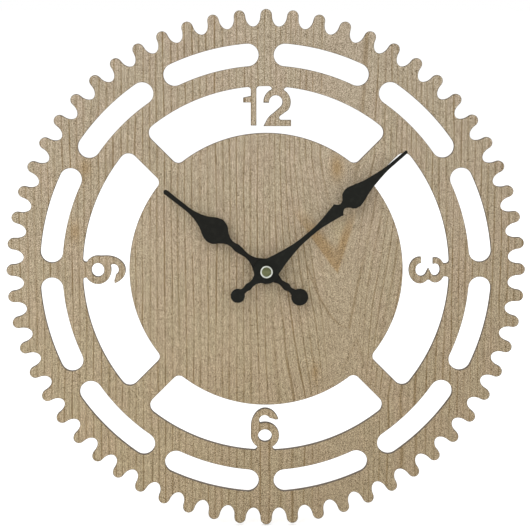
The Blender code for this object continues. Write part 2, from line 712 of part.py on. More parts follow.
def make_hands(look, brass):
    outline = hand_outline(
        HOUR_STATIONS, HOUR_BALL_REACH, HOUR_BALL_RADIUS, HOUR_HAND_LENGTH, 0.0012
    )
    hole = circle(HOUR_TUBE_RADIUS + GAP, 24)
    loops = [turn_loop(outline, HOUR_HAND_ANGLE), hole]
    as_part(sheet(loops, HOUR_HAND_REAR, HOUR_HAND_FRONT), "hour_hand", look)
    front = COLLET_REAR + HOUR_COLLET_THICKNESS
    bore = HOUR_TUBE_RADIUS + GAP
    collet = turned(
        [
            (HOUR_COLLET_RADIUS - 0.0006, front),
            (HOUR_COLLET_RADIUS, front - 0.0005),
            (HOUR_COLLET_RADIUS, COLLET_REAR),
            (bore, COLLET_REAR),
            (bore, front),
        ],
        sides=24,
    )
    as_part(collet, "hour_hand_collet", brass)
    outline = hand_outline(
        MINUTE_STATIONS, MINUTE_BALL_REACH, MINUTE_BALL_RADIUS, MINUTE_HAND_LENGTH, 0.0006
    )
    hole = flattened(MINUTE_SHAFT_RADIUS + GAP, MINUTE_FLAT + GAP)
    loops = [turn_loop(outline, MINUTE_HAND_ANGLE), hole]
    as_part(sheet(loops, MINUTE_HAND_REAR, MINUTE_HAND_FRONT), "minute_hand", look)


def make_cap_nut(look):
    """A closed round nut: a turned cap with a raised rim and a blind bore."""
    bore = MINUTE_SHAFT_RADIUS + GAP
    bottom = MINUTE_SHAFT_END + GAP
    cap = turned(
        [
            (0.0, CAP_FRONT - CAP_DISH),
            (CAP_RADIUS - 2.4 * CAP_RIM, CAP_FRONT - CAP_DISH),
            (CAP_RADIUS - 1.6 * CAP_RIM, CAP_FRONT),
            (CAP_RADIUS - 0.6 * CAP_RIM, CAP_FRONT),
            (CAP_RADIUS, CAP_FRONT - 0.6 * CAP_RIM),
            (CAP_RADIUS, CAP_REAR + 0.3 * CAP_RIM),
            (CAP_RADIUS - 0.3 * CAP_RIM, CAP_REAR),
            (bore, CAP_REAR),
            (bore, bottom),
            (0.0, bottom),
        ],
        sides=32,
    )
    as_part(cap, "cap_nut", look)


# Gear train

def gear_outline(teeth, corners, phase):
    """Teeth round a wheel, each with the same corners, given as (radius, share of the pitch).

    The phase is the angle of one tooth's middle, in degrees.
    """
    pitch = 360 / teeth
    points = []
    for tooth in range(teeth):
        middle = phase + tooth * pitch
        points += [axis_at(radius, middle + share * pitch / 2) for radius, share in corners]
    return points


def wheel_outline(teeth, module, phase):
    """A wheel's pointed teeth."""
    tip = module * (teeth / 2 + WHEEL_ADDENDUM)
    root = module * (teeth / 2 - WHEEL_DEDENDUM)
    corners = ((root, -WHEEL_TOOTH_SHARE), (tip, 0.0), (root, WHEEL_TOOTH_SHARE))
    return gear_outline(teeth, corners, phase)


def pinion_outline(leaves, module, phase, dedendum=LEAF_DEDENDUM):
    """A pinion's slim leaves, with flat tips."""
    tip = module * (leaves / 2 + LEAF_ADDENDUM)
    root = module * (leaves / 2 - dedendum)
    foot = ((root, -LEAF_ROOT_SHARE), (root, LEAF_ROOT_SHARE))
    head = ((tip, -LEAF_TIP_SHARE), (tip, LEAF_TIP_SHARE))
    return gear_outline(leaves, (foot[0], *head, foot[1]), phase)


def facing(angle, teeth):
    """The phase that puts a wheel's gap on the line towards an angle."""
    return angle + 180 / teeth


def wheel(teeth, module, depth, at, phase):
    return sheet([wheel_outline(teeth, module, phase)], depth, depth + WHEEL_THICKNESS, at)


def pinion(leaves, module, depth, at, phase, dedendum=LEAF_DEDENDUM):
    outline = pinion_outline(leaves, module, phase, dedendum)
    front = depth + WHEEL_THICKNESS + PINION_OVERLAP
    return sheet([outline], depth - PINION_OVERLAP, front, at)


def make_rotor(nylon, magnet):
    arbor = disc(ARBOR_RADIUS, PIVOT_DEPTH, FRONT_PIVOT, ROTOR_AXIS, 8)
    leaf = ROTOR_ANGLE + 180
    join(arbor, pinion(ROTOR_LEAVES, ROTOR_MODULE, FIFTH_DEPTH, ROTOR_AXIS, leaf))
    as_part(arbor, "rotor_pinion", nylon)
    middle = STATOR_DEPTH + STATOR_THICKNESS / 2
    rear, front = middle - ROTOR_LENGTH / 2, middle + ROTOR_LENGTH / 2
    bore = ARBOR_RADIUS + GAP
    profile = [(ROTOR_RADIUS, front), (ROTOR_RADIUS, rear), (bore, rear), (bore, front)]
    as_part(turned(profile, ROTOR_AXIS, 20), "rotor_magnet", magnet)


def make_train(nylon, steel):
    arbor = disc(ARBOR_RADIUS, PIVOT_DEPTH, FRONT_PIVOT, FIFTH_AXIS, 8)
    phase = facing(ROTOR_ANGLE, FIFTH_TEETH)
    leaf = FIFTH_ANGLE + 180
    join(
        arbor,
        wheel(FIFTH_TEETH, ROTOR_MODULE, FIFTH_DEPTH, FIFTH_AXIS, phase),
        pinion(FIFTH_LEAVES, FIFTH_MODULE, SECONDS_DEPTH, FIFTH_AXIS, leaf),
    )
    as_part(arbor, "fifth_wheel", nylon)

    arbor = disc(SECONDS_ARBOR_RADIUS, PIVOT_DEPTH, MINUTE_SHAFT_END - GAP, sides=12)
    phase = facing(FIFTH_ANGLE, SECONDS_TEETH)
    join(
        arbor,
        wheel(SECONDS_TEETH, FIFTH_MODULE, SECONDS_DEPTH, (0, 0), phase),
        pinion(SECONDS_LEAVES, SECONDS_MODULE, THIRD_DEPTH, (0, 0), THIRD_ANGLE),
    )
    as_part(arbor, "seconds_wheel", nylon)

    arbor = disc(ARBOR_RADIUS, PIVOT_DEPTH, FRONT_PIVOT, THIRD_AXIS, 8)
    phase = facing(THIRD_ANGLE + 180, THIRD_TEETH)
    join(
        arbor,
        wheel(THIRD_TEETH, SECONDS_MODULE, THIRD_DEPTH, THIRD_AXIS, phase),
        pinion(THIRD_LEAVES, THIRD_MODULE, CENTRE_DEPTH, THIRD_AXIS, THIRD_ANGLE + 180),
    )
    as_part(arbor, "third_wheel", nylon)

    shaft = disc(MINUTE_SHAFT_RADIUS, CENTRE_DEPTH - PINION_OVERLAP, MINUTE_SHAFT_END, sides=20)
    join(
        shaft,
        wheel(CENTRE_TEETH, THIRD_MODULE, CENTRE_DEPTH, (0, 0), facing(THIRD_ANGLE, CENTRE_TEETH)),
        pinion(CANNON_LEAVES, MOTION_MODULE, MINUTE_DEPTH, (0, 0), MINUTE_ANGLE, CANNON_DEDENDUM),
    )
    flat_start = MINUTE_HAND_REAR - GAP
    beside = 2 * MINUTE_SHAFT_RADIUS
    end = MINUTE_SHAFT_END + CUT_MARGIN
    cut(
        shaft,
        disc(MINUTE_BORE_RADIUS, 0.0, end, sides=12),
        block(-beside, beside, MINUTE_FLAT, beside, flat_start, end),
        block(-beside, beside, -beside, -MINUTE_FLAT, flat_start, end),
    )
    as_part(shaft, "centre_wheel", steel)

    arbor = disc(MINUTE_ARBOR_RADIUS, KNOB_FRONT + GAP, MINUTE_ARBOR_END, MINUTE_AXIS, 12)
    phase = facing(MINUTE_ANGLE + 180, MINUTE_TEETH)
    outline = pinion_outline(MINUTE_LEAVES, HOUR_MODULE, MINUTE_ANGLE + 180)
    leaf = sheet([outline], HOUR_DEPTH - PINION_OVERLAP, WALL_INSIDE - GAP, MINUTE_AXIS)
    join(arbor, wheel(MINUTE_TEETH, MOTION_MODULE, MINUTE_DEPTH, MINUTE_AXIS, phase), leaf)
    as_part(arbor, "minute_wheel", nylon)

    tube_rear = HOUR_DEPTH - PINION_OVERLAP
    tube = disc(HOUR_TUBE_RADIUS, tube_rear, HOUR_TUBE_END, sides=20)
    join(tube, wheel(HOUR_TEETH, HOUR_MODULE, HOUR_DEPTH, (0, 0), facing(MINUTE_ANGLE, HOUR_TEETH)))
    cut(tube, disc(HOUR_TUBE_BORE, 0.0, HOUR_TUBE_END + CUT_MARGIN, sides=20))
    as_part(tube, "hour_wheel", nylon)


def make_knob(look):
    """The hand-setting knob: a notched disc that lies in a well of the rear cover."""
    rear = GAP
    knob = turned(
        [
            (0.0, KNOB_FRONT),
            (KNOB_RADIUS - KNOB_EDGE, KNOB_FRONT),
            (KNOB_RADIUS, KNOB_FRONT - KNOB_EDGE),
            (KNOB_RADIUS, rear + KNOB_EDGE),
            (KNOB_RADIUS - KNOB_EDGE, rear),
            (0.0, rear),
        ],
        MINUTE_AXIS,
        20,
    )
    for number in range(KNOB_NOTCHES):
        notch = axis_at(KNOB_RADIUS, 360 * number / KNOB_NOTCHES, MINUTE_AXIS)
        cut(knob, disc(KNOB_EDGE, rear - CUT_MARGIN, KNOB_FRONT + CUT_MARGIN, notch, 6))
    as_part(knob, "setting_knob", look)


# Stepping motor

def make_motor(iron, copper, nylon):
    coil_left = ROTOR_AXIS[0] - BOBBIN_LENGTH / 2
    coil_right = ROTOR_AXIS[0] + BOBBIN_LENGTH / 2
    left = coil_left - LEG_CLEARANCE
    right = coil_right + LEG_CLEARANCE
    top = CORE_HEIGHT + CORE_WIDTH / 2
    bar = ROTOR_AXIS[1] + GAP
    front = STATOR_DEPTH + STATOR_THICKNESS
    outline = [
        (left - STATOR_LEG, top),
        (left - STATOR_LEG, bar),
        (right + STATOR_LEG, bar),
        (right + STATOR_LEG, top),
        (right, top),
        (right, bar + STATOR_LEG),
        (left, bar + STATOR_LEG),
        (left, top),
    ]
    stator = sheet([outline], STATOR_DEPTH, front)
    hole = ROTOR_RADIUS + AIR_GAP
    join(stator, disc(hole + STATOR_RING, STATOR_DEPTH, front, ROTOR_AXIS, 20))
    cut(stator, disc(hole, 0.0, front + CUT_MARGIN, ROTOR_AXIS, 20))
    as_part(stator, "stator_plate", iron)

    rear = front + GAP
    middle = rear + STATOR_THICKNESS / 2
    half = CORE_WIDTH / 2
    core_left = left - STATOR_LEG + GAP
    core_right = right + STATOR_LEG - GAP
    ends = (CORE_HEIGHT - half, CORE_HEIGHT + half, rear, rear + STATOR_THICKNESS)
    as_part(block(core_left, core_right, *ends), "coil_core", iron)

    spool = turned(
        [
            (0.0, coil_right),
            (BOBBIN_FLANGE_RADIUS, coil_right),
            (BOBBIN_FLANGE_RADIUS, coil_right - BOBBIN_FLANGE),
            (BOBBIN_TUBE_RADIUS, coil_right - BOBBIN_FLANGE),
            (BOBBIN_TUBE_RADIUS, coil_left + BOBBIN_FLANGE),
            (BOBBIN_FLANGE_RADIUS, coil_left + BOBBIN_FLANGE),
            (BOBBIN_FLANGE_RADIUS, coil_left),
            (0.0, coil_left),
        ],
        sides=16,
    )
    lay_across(spool, middle, CORE_HEIGHT)
    past = (coil_left - CUT_MARGIN, coil_right + CUT_MARGIN)
    around = (ends[0] - GAP, ends[1] + GAP, ends[2] - GAP, ends[3] + GAP)
    cut(spool, block(*past, *around))
    as_part(spool, "coil_bobbin", nylon)

    wound_left = coil_left + BOBBIN_FLANGE + GAP
    wound_right = coil_right - BOBBIN_FLANGE - GAP
    inside = BOBBIN_TUBE_RADIUS + GAP
    winding = turned(
        [
            (WINDING_RADIUS, wound_right),
            (WINDING_RADIUS, wound_left),
            (inside, wound_left),
            (inside, wound_right),
        ],
        sides=16,
    )
    lay_across(winding, middle, CORE_HEIGHT)
    as_part(winding, "coil_winding", copper)


# Battery, contacts and circuit board

def make_battery(look):
    shoulder = BATTERY_END + BATTERY_BODY
    cap_end = shoulder + BATTERY_CAP_LENGTH
    cell = turned(
        [
            (0.0, cap_end),
            (BATTERY_CAP_RADIUS, cap_end),
            (BATTERY_CAP_RADIUS, shoulder),
            (BATTERY_RADIUS - BATTERY_EDGE, shoulder),
            (BATTERY_RADIUS, shoulder - BATTERY_EDGE),
            (BATTERY_RADIUS, BATTERY_END + BATTERY_EDGE),
            (BATTERY_RADIUS - BATTERY_EDGE, BATTERY_END),
            (0.0, BATTERY_END),
        ],
        sides=24,
    )
    lay_across(cell, BATTERY_DEPTH, BATTERY_HEIGHT)
    as_part(cell, "battery_cell", look)


def bent(path, thickness):
    """The outline of sheet metal bent along a path, its edges parallel to the path's runs."""
    half = thickness / 2
    normals = []
    for (x1, y1), (x2, y2) in zip(path, path[1:]):
        length = math.hypot(x2 - x1, y2 - y1)
        normals.append(((y1 - y2) / length, (x2 - x1) / length))
    left, right = [], []
    for point, before, after in zip(path, normals[:1] + normals, normals + normals[-1:]):
        across = (before[0] + after[0], before[1] + after[1])
        reach = 2 * half / (across[0] ** 2 + across[1] ** 2)
        left.append((point[0] + across[0] * reach, point[1] + across[1] * reach))
        right.append((point[0] - across[0] * reach, point[1] - across[1] * reach))
    return left + right[::-1]


def make_contacts(look):
    half = CONTACT_THICKNESS / 2
    side = CHAMBER_SIDE - GAP - half
    foot = BAY_BOTTOM + 2 * GAP
    rear = BATTERY_DEPTH - CONTACT_WIDTH / 2
    front = CIRCUIT_DEPTH - GAP
    pad = CIRCUIT_TOP - CIRCUIT_HEIGHT + CONTACT_LAP
    above = (BAY_TOP - GAP, pad + CUT_MARGIN, 0.0, front - CONTACT_ARM)
    fold = 2 * CONTACT_THICKNESS
    leaf = [
        (-side, pad),
        (-side, foot + half),
        (half + GAP / 2 - side, foot),
        (fold - side, foot + half),
        (BATTERY_END - GAP - half, BATTERY_HEIGHT),
        (fold - side, BATTERY_HEIGHT + BATTERY_RADIUS / 2),
    ]
    negative = sheet([bent(leaf, CONTACT_THICKNESS)], rear, front)
    cut(negative, block(-HALF_CASE, HALF_CASE, *above))
    as_part(negative, "contact_negative", look)
    rail = CHAMBER_BOTTOM + GAP + half
    riser = CIRCUIT_LEFT + CIRCUIT_WIDTH / 2
    path = [(side, foot), (side, rail), (riser, rail), (riser, pad)]
    positive = sheet([bent(path, CONTACT_THICKNESS)], rear, front)
    cut(positive, block(-HALF_CASE, HALF_CASE, *above))
    as_part(positive, "contact_positive", look)


def make_electronics(green, steel, resin):
    right = CIRCUIT_LEFT + CIRCUIT_WIDTH
    bottom = CIRCUIT_TOP - CIRCUIT_HEIGHT
    front = CIRCUIT_DEPTH + CIRCUIT_THICKNESS
    circuit = block(CIRCUIT_LEFT, right, bottom, CIRCUIT_TOP, CIRCUIT_DEPTH, front)
    as_part(circuit, "circuit_board", green)
    middle = (CIRCUIT_LEFT + right) / 2
    start = middle - CRYSTAL_LENGTH / 2
    can = turned(
        [
            (0.0, start + CRYSTAL_LENGTH),
            (CRYSTAL_RADIUS, start + CRYSTAL_LENGTH),
            (CRYSTAL_RADIUS, start),
            (0.0, start),
        ],
        sides=16,
    )
    seat = CIRCUIT_DEPTH - GAP
    lay_across(can, seat - CRYSTAL_RADIUS, bottom + CONTACT_LAP + 2 * CRYSTAL_RADIUS)
    as_part(can, "quartz_crystal", steel)
    blob = turned(
        [
            (0.0, seat),
            (CHIP_RADIUS, seat),
            (0.85 * CHIP_RADIUS, seat - 0.6 * CHIP_HEIGHT),
            (0.45 * CHIP_RADIUS, seat - 0.95 * CHIP_HEIGHT),
            (0.0, seat - CHIP_HEIGHT),
        ],
        (middle, CIRCUIT_TOP - CHIP_RADIUS - 2 * CRYSTAL_RADIUS),
        16,
    )
    as_part(blob, "chip_cover", resin)


# Case of the movement

def train_plate_corners():
    """Where the middle plate's edges lie: left, right, bottom, top."""
    left = THIRD_AXIS[0] - PLATE_MARGIN - PLATE_POST_RADIUS
    bottom = CHAMBER_BOTTOM + CONTACT_THICKNESS + 3 * GAP
    return left, left + PLATE_WIDTH, bottom, ROTOR_AXIS[1] + PLATE_MARGIN / 2


def plate_posts():
    left, right, bottom, top = train_plate_corners()
    inset = PLATE_POST_RADIUS + GAP
    return [(x, y) for x in (left + inset, right - inset) for y in (bottom + inset, top - inset)]


def make_plate(look):
    front = PLATE_DEPTH + PLATE_THICKNESS
    plate = block(*train_plate_corners(), PLATE_DEPTH, front)
    past = (PLATE_DEPTH - CUT_MARGIN, front + CUT_MARGIN)
    for axis in (FIFTH_AXIS, ROTOR_AXIS, THIRD_AXIS):
        cut(plate, disc(ARBOR_RADIUS + GAP, *past, axis, 8))
    cut(
        plate,
        disc(MINUTE_SHAFT_RADIUS + GAP, *past, sides=16),
        disc(MINUTE_ARBOR_RADIUS + GAP, *past, MINUTE_AXIS, 12),
    )
    as_part(plate, "train_plate", look)


def make_case_front(look):
    """The moulded tray: battery bay below, gear chamber above, threaded bushing in front."""
    side, half = CHAMBER_SIDE, HALF_CASE
    tray = block(-half, half, -half, half, 0.0, CASE_DEPTH, CASE_CORNER)
    over = half + CUT_MARGIN
    slot_end = CHAMBER_SIDE - POSITIVE_ROOM
    slot = (BAY_TOP - CUT_MARGIN, CHAMBER_BOTTOM + CUT_MARGIN, -CUT_MARGIN, CIRCUIT_DEPTH)
    finger = (-over, BAY_BOTTOM + CUT_MARGIN, -CUT_MARGIN, FINGER_DEPTH)
    cut(
        tray,
        block(-side, side, BAY_BOTTOM, BAY_TOP, -CUT_MARGIN, WALL_INSIDE),
        block(-side, side, CHAMBER_BOTTOM, side, -CUT_MARGIN, WALL_INSIDE),
        block(-over, over, CHAMBER_BOTTOM - GAP, over, -CUT_MARGIN, COVER_SEAT),
        block(-side, -slot_end, *slot),
        block(slot_end, side, *slot),
        block(-FINGER_WIDTH / 2, FINGER_WIDTH / 2, *finger),
    )
    root = WALL_INSIDE + CASE_WALL / 2
    join(tray, disc(BUSHING_RADIUS, root, BUSHING_END, sides=24))
    for post in plate_posts():
        join(tray, disc(PLATE_POST_RADIUS, FRONT_PIVOT + GAP, root, post, 8))
    low, high = CIRCUIT_TOP - CIRCUIT_HEIGHT, CIRCUIT_TOP
    inset = 2 * PLATE_POST_RADIUS
    for x in (CIRCUIT_LEFT + inset, CIRCUIT_LEFT + CIRCUIT_WIDTH - inset):
        for y in (low + inset, high - inset):
            seat = CIRCUIT_DEPTH + CIRCUIT_THICKNESS + GAP
            join(tray, disc(PLATE_POST_RADIUS, seat, root, (x, y), 8))
    socket = MINUTE_ARBOR_RADIUS + GAP
    cut(
        tray,
        disc(HOUR_TUBE_RADIUS + GAP, WALL_INSIDE - CUT_MARGIN, BUSHING_END + CUT_MARGIN, sides=24),
        disc(socket, WALL_INSIDE - CUT_MARGIN, MINUTE_ARBOR_END + GAP, MINUTE_AXIS, 12),
    )
    as_part(tray, "movement_case_front", look)


def make_case_rear(look):
    """The moulded cover of the gear chamber, with the knob's well and a boss for each arbor."""
    half = HALF_CASE
    low = CHAMBER_BOTTOM - 2 * CASE_CORNER
    cover = block(-half, half, low, half, 0.0, COVER_THICKNESS, CASE_CORNER)
    over = half + CUT_MARGIN
    past = COVER_THICKNESS + CUT_MARGIN
    cut(cover, block(-over, over, low - CUT_MARGIN, CHAMBER_BOTTOM, -CUT_MARGIN, past))
    well = KNOB_RADIUS + ENTRY_CLEARANCE
    floor = KNOB_FRONT + GAP
    root = COVER_THICKNESS / 2
    join(cover, disc(well + WELL_WALL, root, floor + WELL_WALL, MINUTE_AXIS, 24))
    bosses = [
        ((0.0, 0.0), SECONDS_ARBOR_RADIUS),
        (FIFTH_AXIS, ARBOR_RADIUS),
        (THIRD_AXIS, ARBOR_RADIUS),
        (ROTOR_AXIS, ARBOR_RADIUS),
    ]
    for axis, radius in bosses:
        join(cover, disc(radius + GAP + BOSS_WALL, root, BOSS_TOP, axis, 12))
    tongue = (TONGUE_HEIGHT, TONGUE_HEIGHT + TONGUE_WIDTH, root, TONGUE_DEPTH)
    outer = CHAMBER_SIDE - GAP
    join(cover, block(-outer, CASE_WALL - outer, *tongue))
    join(cover, block(outer - CASE_WALL, outer, *tongue))
    past = floor + WELL_WALL + CUT_MARGIN
    cut(
        cover,
        disc(well, -CUT_MARGIN, floor, MINUTE_AXIS, 24),
        disc(MINUTE_ARBOR_RADIUS + GAP, 0.0, past, MINUTE_AXIS, 12),
    )
    for axis, radius in bosses:
        cut(cover, disc(radius + GAP, PIVOT_DEPTH - GAP, BOSS_TOP + CUT_MARGIN, axis, 8))
    as_part(cover, "movement_case_rear", look)


# What is clamped on the bushing

def ring_sheet(radius, rear, thickness, sides=24):
    return sheet([circle(radius, sides), circle(BUSHING_RADIUS + GAP, 20)], rear, rear + thickness)


def make_fixings(rubber, steel, zinc):
    as_part(ring_sheet(GASKET_RADIUS, GASKET_REAR, GASKET_THICKNESS), "rubber_gasket", rubber)
    as_part(ring_sheet(WASHER_RADIUS, WASHER_REAR, WASHER_THICKNESS), "fixing_washer", steel)
    corner = NUT_ACROSS_FLATS / 2 / math.cos(math.radians(30))
    as_part(ring_sheet(corner, NUT_REAR, NUT_THICKNESS, 6), "fixing_nut", steel)

    half = HANGER_THICKNESS / 2
    front = HANGER_REAR + half
    back = WALL_GAP + half
    shelf = HANGER_SHELF + half
    top = HANGER_SHELF + HANGER_THICKNESS + HANGER_RISE
    path = [(-front, BUSHING_RADIUS), (-front, shelf), (-back, shelf), (-back, top)]
    plate = sheet([bent(path, HANGER_THICKNESS)], -HANGER_WIDTH / 2, HANGER_WIDTH / 2)
    face_sideways(plate)
    join(plate, disc(HANGER_EYE_RADIUS, HANGER_REAR, HANGER_REAR + HANGER_THICKNESS, sides=32))
    past = HANGER_REAR + HANGER_THICKNESS + CUT_MARGIN
    nail = top - HANGER_RISE / 2
    half_hole = NAIL_HOLE_HEIGHT / 2
    hole = (nail - half_hole, nail + half_hole, 0.0, WALL_GAP + HANGER_THICKNESS + CUT_MARGIN)
    cut(
        plate,
        disc(BUSHING_RADIUS + GAP, HANGER_REAR - CUT_MARGIN, past, sides=24),
        block(-NAIL_HOLE_WIDTH / 2, NAIL_HOLE_WIDTH / 2, *hole, NAIL_CORNER),
    )
    as_part(plate, "wall_hanger", zinc)


# Finishes: name, colour, roughness, metal
WOOD = ("oak_veneer", (0.41, 0.32, 0.21), 0.55, 0.0)
HAND_BLACK = ("hand_black", (0.012, 0.012, 0.013), 0.45, 0.0)
CHROME = ("cap_chrome", (0.62, 0.61, 0.60), 0.18, 1.0)
STEEL = ("nut_steel", (0.56, 0.56, 0.57), 0.32, 1.0)
ZINC = ("hanger_zinc", (0.52, 0.53, 0.54), 0.42, 1.0)
RUBBER = ("gasket_rubber", (0.015, 0.015, 0.015), 0.85, 0.0)
CASE_BLACK = ("case_black", (0.018, 0.018, 0.019), 0.50, 0.0)
COVER_BLACK = ("cover_black", (0.020, 0.020, 0.021), 0.50, 0.0)
CELL_WRAP = ("cell_wrap", (0.02, 0.10, 0.28), 0.35, 0.0)
NICKEL = ("contact_nickel", (0.60, 0.57, 0.52), 0.30, 1.0)
CIRCUIT_GREEN = ("circuit_green", (0.02, 0.16, 0.06), 0.45, 0.0)
CAN_STEEL = ("can_steel", (0.62, 0.62, 0.62), 0.25, 1.0)
RESIN = ("chip_resin", (0.010, 0.010, 0.010), 0.35, 0.0)
NYLON = ("white_nylon", (0.72, 0.70, 0.64), 0.50, 0.0)
BRASS = ("shaft_brass", (0.72, 0.50, 0.20), 0.30, 1.0)
MAGNET = ("rotor_ferrite", (0.08, 0.08, 0.085), 0.55, 0.0)
KNOB_BLACK = ("knob_black", (0.016, 0.016, 0.016), 0.55, 0.0)
IRON = ("stator_iron", (0.42, 0.42, 0.43), 0.40, 1.0)
COPPER = ("winding_copper", (0.55, 0.20, 0.08), 0.35, 1.0)

make_board(WOOD)
make_hands(HAND_BLACK, BRASS)
make_cap_nut(CHROME)
make_rotor(NYLON, MAGNET)
make_train(NYLON, BRASS)
make_knob(KNOB_BLACK)
make_motor(IRON, COPPER, NYLON)
make_battery(CELL_WRAP)
make_contacts(NICKEL)
make_electronics(CIRCUIT_GREEN, CAN_STEEL, RESIN)
make_plate(NYLON)
make_case_front(CASE_BLACK)
make_case_rear(COVER_BLACK)
make_fixings(RUBBER, STEEL, ZINC)
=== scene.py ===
"""Looks of the gear-shaped wooden wall clock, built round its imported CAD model."""
from math import asin, atan2, cos, degrees, hypot, pi, radians, sin, sqrt

import bmesh
import bpy
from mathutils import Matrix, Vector


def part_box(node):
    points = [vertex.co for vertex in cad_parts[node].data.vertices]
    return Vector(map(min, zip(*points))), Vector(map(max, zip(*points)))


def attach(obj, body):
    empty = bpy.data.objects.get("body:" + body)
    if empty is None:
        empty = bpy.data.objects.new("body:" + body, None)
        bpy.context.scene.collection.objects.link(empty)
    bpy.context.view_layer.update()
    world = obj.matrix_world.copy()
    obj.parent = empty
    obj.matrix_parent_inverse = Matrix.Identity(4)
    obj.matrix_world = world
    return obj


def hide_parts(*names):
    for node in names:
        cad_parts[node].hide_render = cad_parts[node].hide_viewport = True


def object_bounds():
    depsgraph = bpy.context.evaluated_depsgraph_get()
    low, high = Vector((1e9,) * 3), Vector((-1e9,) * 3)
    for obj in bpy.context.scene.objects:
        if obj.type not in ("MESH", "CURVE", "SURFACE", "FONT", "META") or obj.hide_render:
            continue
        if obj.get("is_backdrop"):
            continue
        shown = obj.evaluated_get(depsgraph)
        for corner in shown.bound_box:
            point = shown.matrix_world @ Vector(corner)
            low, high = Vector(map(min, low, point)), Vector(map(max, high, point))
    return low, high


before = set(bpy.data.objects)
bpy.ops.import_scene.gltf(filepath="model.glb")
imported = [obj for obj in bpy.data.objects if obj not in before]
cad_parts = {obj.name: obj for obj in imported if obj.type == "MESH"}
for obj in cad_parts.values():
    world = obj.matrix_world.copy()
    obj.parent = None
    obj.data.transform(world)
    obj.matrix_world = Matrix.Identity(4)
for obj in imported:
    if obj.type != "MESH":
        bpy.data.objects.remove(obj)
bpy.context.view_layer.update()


# View: the dial is seen from far off with a long lens, so that it keeps its round shape.
# The camera stands a little above the clock and a little to the left of it.
VIEW_AIM = Vector((-0.0008, -0.0237, 0.0032))
VIEW_DISTANCE = 1.551
VIEW_RISE = radians(6.36)
VIEW_SIDE = radians(-1.0)
LENS_LENGTH = 160.8  # mm, on a sensor 36 mm wide


def new_object(name, data):
    made = bpy.data.objects.new(name, data)
    bpy.context.scene.collection.objects.link(made)
    return made


optics = bpy.data.cameras.new("view")
optics.lens = LENS_LENGTH
optics.sensor_width = 36.0
optics.clip_end = 100.0
camera = new_object("view", optics)
camera.location = VIEW_AIM + VIEW_DISTANCE * Vector((
    sin(VIEW_SIDE) * cos(VIEW_RISE),
    -cos(VIEW_SIDE) * cos(VIEW_RISE),
    sin(VIEW_RISE)))
camera.rotation_euler = (VIEW_AIM - camera.location).to_track_quat("-Z", "Y").to_euler()
bpy.context.scene.camera = camera
bpy.context.scene.view_settings.view_transform = "Standard"


# Studio: a white surround that lights the clock evenly, and a wide pale floor just below it.
# Three large soft lamps add a little direction, the strongest from the upper left.
def put_node(tree, kind, **values):
    """Adds a shader node; a value goes to the property or to the input of that name."""
    node = tree.nodes.new("ShaderNode" + kind)
    for key, value in values.items():
        if hasattr(node, key):
            setattr(node, key, value)
        else:
            node.inputs[key.replace("_", " ")].default_value = value
    return node


def feed(socket, value):
    """Gives an input a number or a colour, or links it to what another node puts out."""
    if isinstance(value, (int, float)):
        socket.default_value = value
    elif isinstance(value, tuple):
        socket.default_value = (*value, 1.0)
    else:
        socket.id_data.links.new(getattr(value, "socket", value), socket)


class Reading:
    """A value that differs from place to place; a sum with it adds the node that works it out."""

    def __init__(self, socket):
        self.socket = socket

    def __add__(self, other):
        return calc("ADD", self, other)

    def __sub__(self, other):
        return calc("SUBTRACT", self, other)

    def __rsub__(self, other):
        return calc("SUBTRACT", other, self)

    def __mul__(self, other):
        return calc("MULTIPLY", self, other)

    def __truediv__(self, other):
        return calc("DIVIDE", self, other)


def tree_of(*values):
    """The node tree that the first reading among these values belongs to."""
    return next(value.socket.id_data for value in values if isinstance(value, Reading))


def calc(step, *values):
    """One step of arithmetic; each value is a number or a reading."""
    node = put_node(tree_of(*values), "Math", operation=step)
    for socket, value in zip(node.inputs, values):
        feed(socket, value)
    return Reading(node.outputs[0])


def greater(one, other):
    return calc("MAXIMUM", one, other)


def fresh_material(name):
    new = bpy.data.materials.new(name)
    new.use_nodes = True
    new.node_tree.nodes.clear()
    return new, new.node_tree


def show_directly(tree, kind, other, seen):
    """Shows one shader to the camera, mirrors and glass, and another to everything else."""
    path = put_node(tree, "LightPath")
    camera_ray, glossy, through = (Reading(path.outputs["Is %s Ray" % ray])
                                   for ray in ("Camera", "Glossy", "Transmission"))
    choice = put_node(tree, "MixShader")
    feed(choice.inputs[0], greater(greater(camera_ray, glossy), through))
    feed(choice.inputs[1], other.outputs[0])
    feed(choice.inputs[2], seen.outputs[0])
    feed(put_node(tree, kind).inputs["Surface"], choice.outputs[0])


AMBIENT = 0.79
WHITE = (1.0, 1.0, 1.0, 1.0)
FLOOR_PAINT = (0.80, 0.80, 0.80, 1.0)
FLOOR_GLOW = 0.45
FLOOR_HEIGHT = -0.1705
FLOOR_SIZE = 160.0
world = bpy.data.worlds.new("surround")
world.use_nodes = True
bpy.context.scene.world = world
tree = world.node_tree
tree.nodes.clear()
dim = put_node(tree, "Background", Color=WHITE, Strength=AMBIENT)
bright = put_node(tree, "Background", Color=WHITE, Strength=1.0)
show_directly(tree, "OutputWorld", dim, bright)

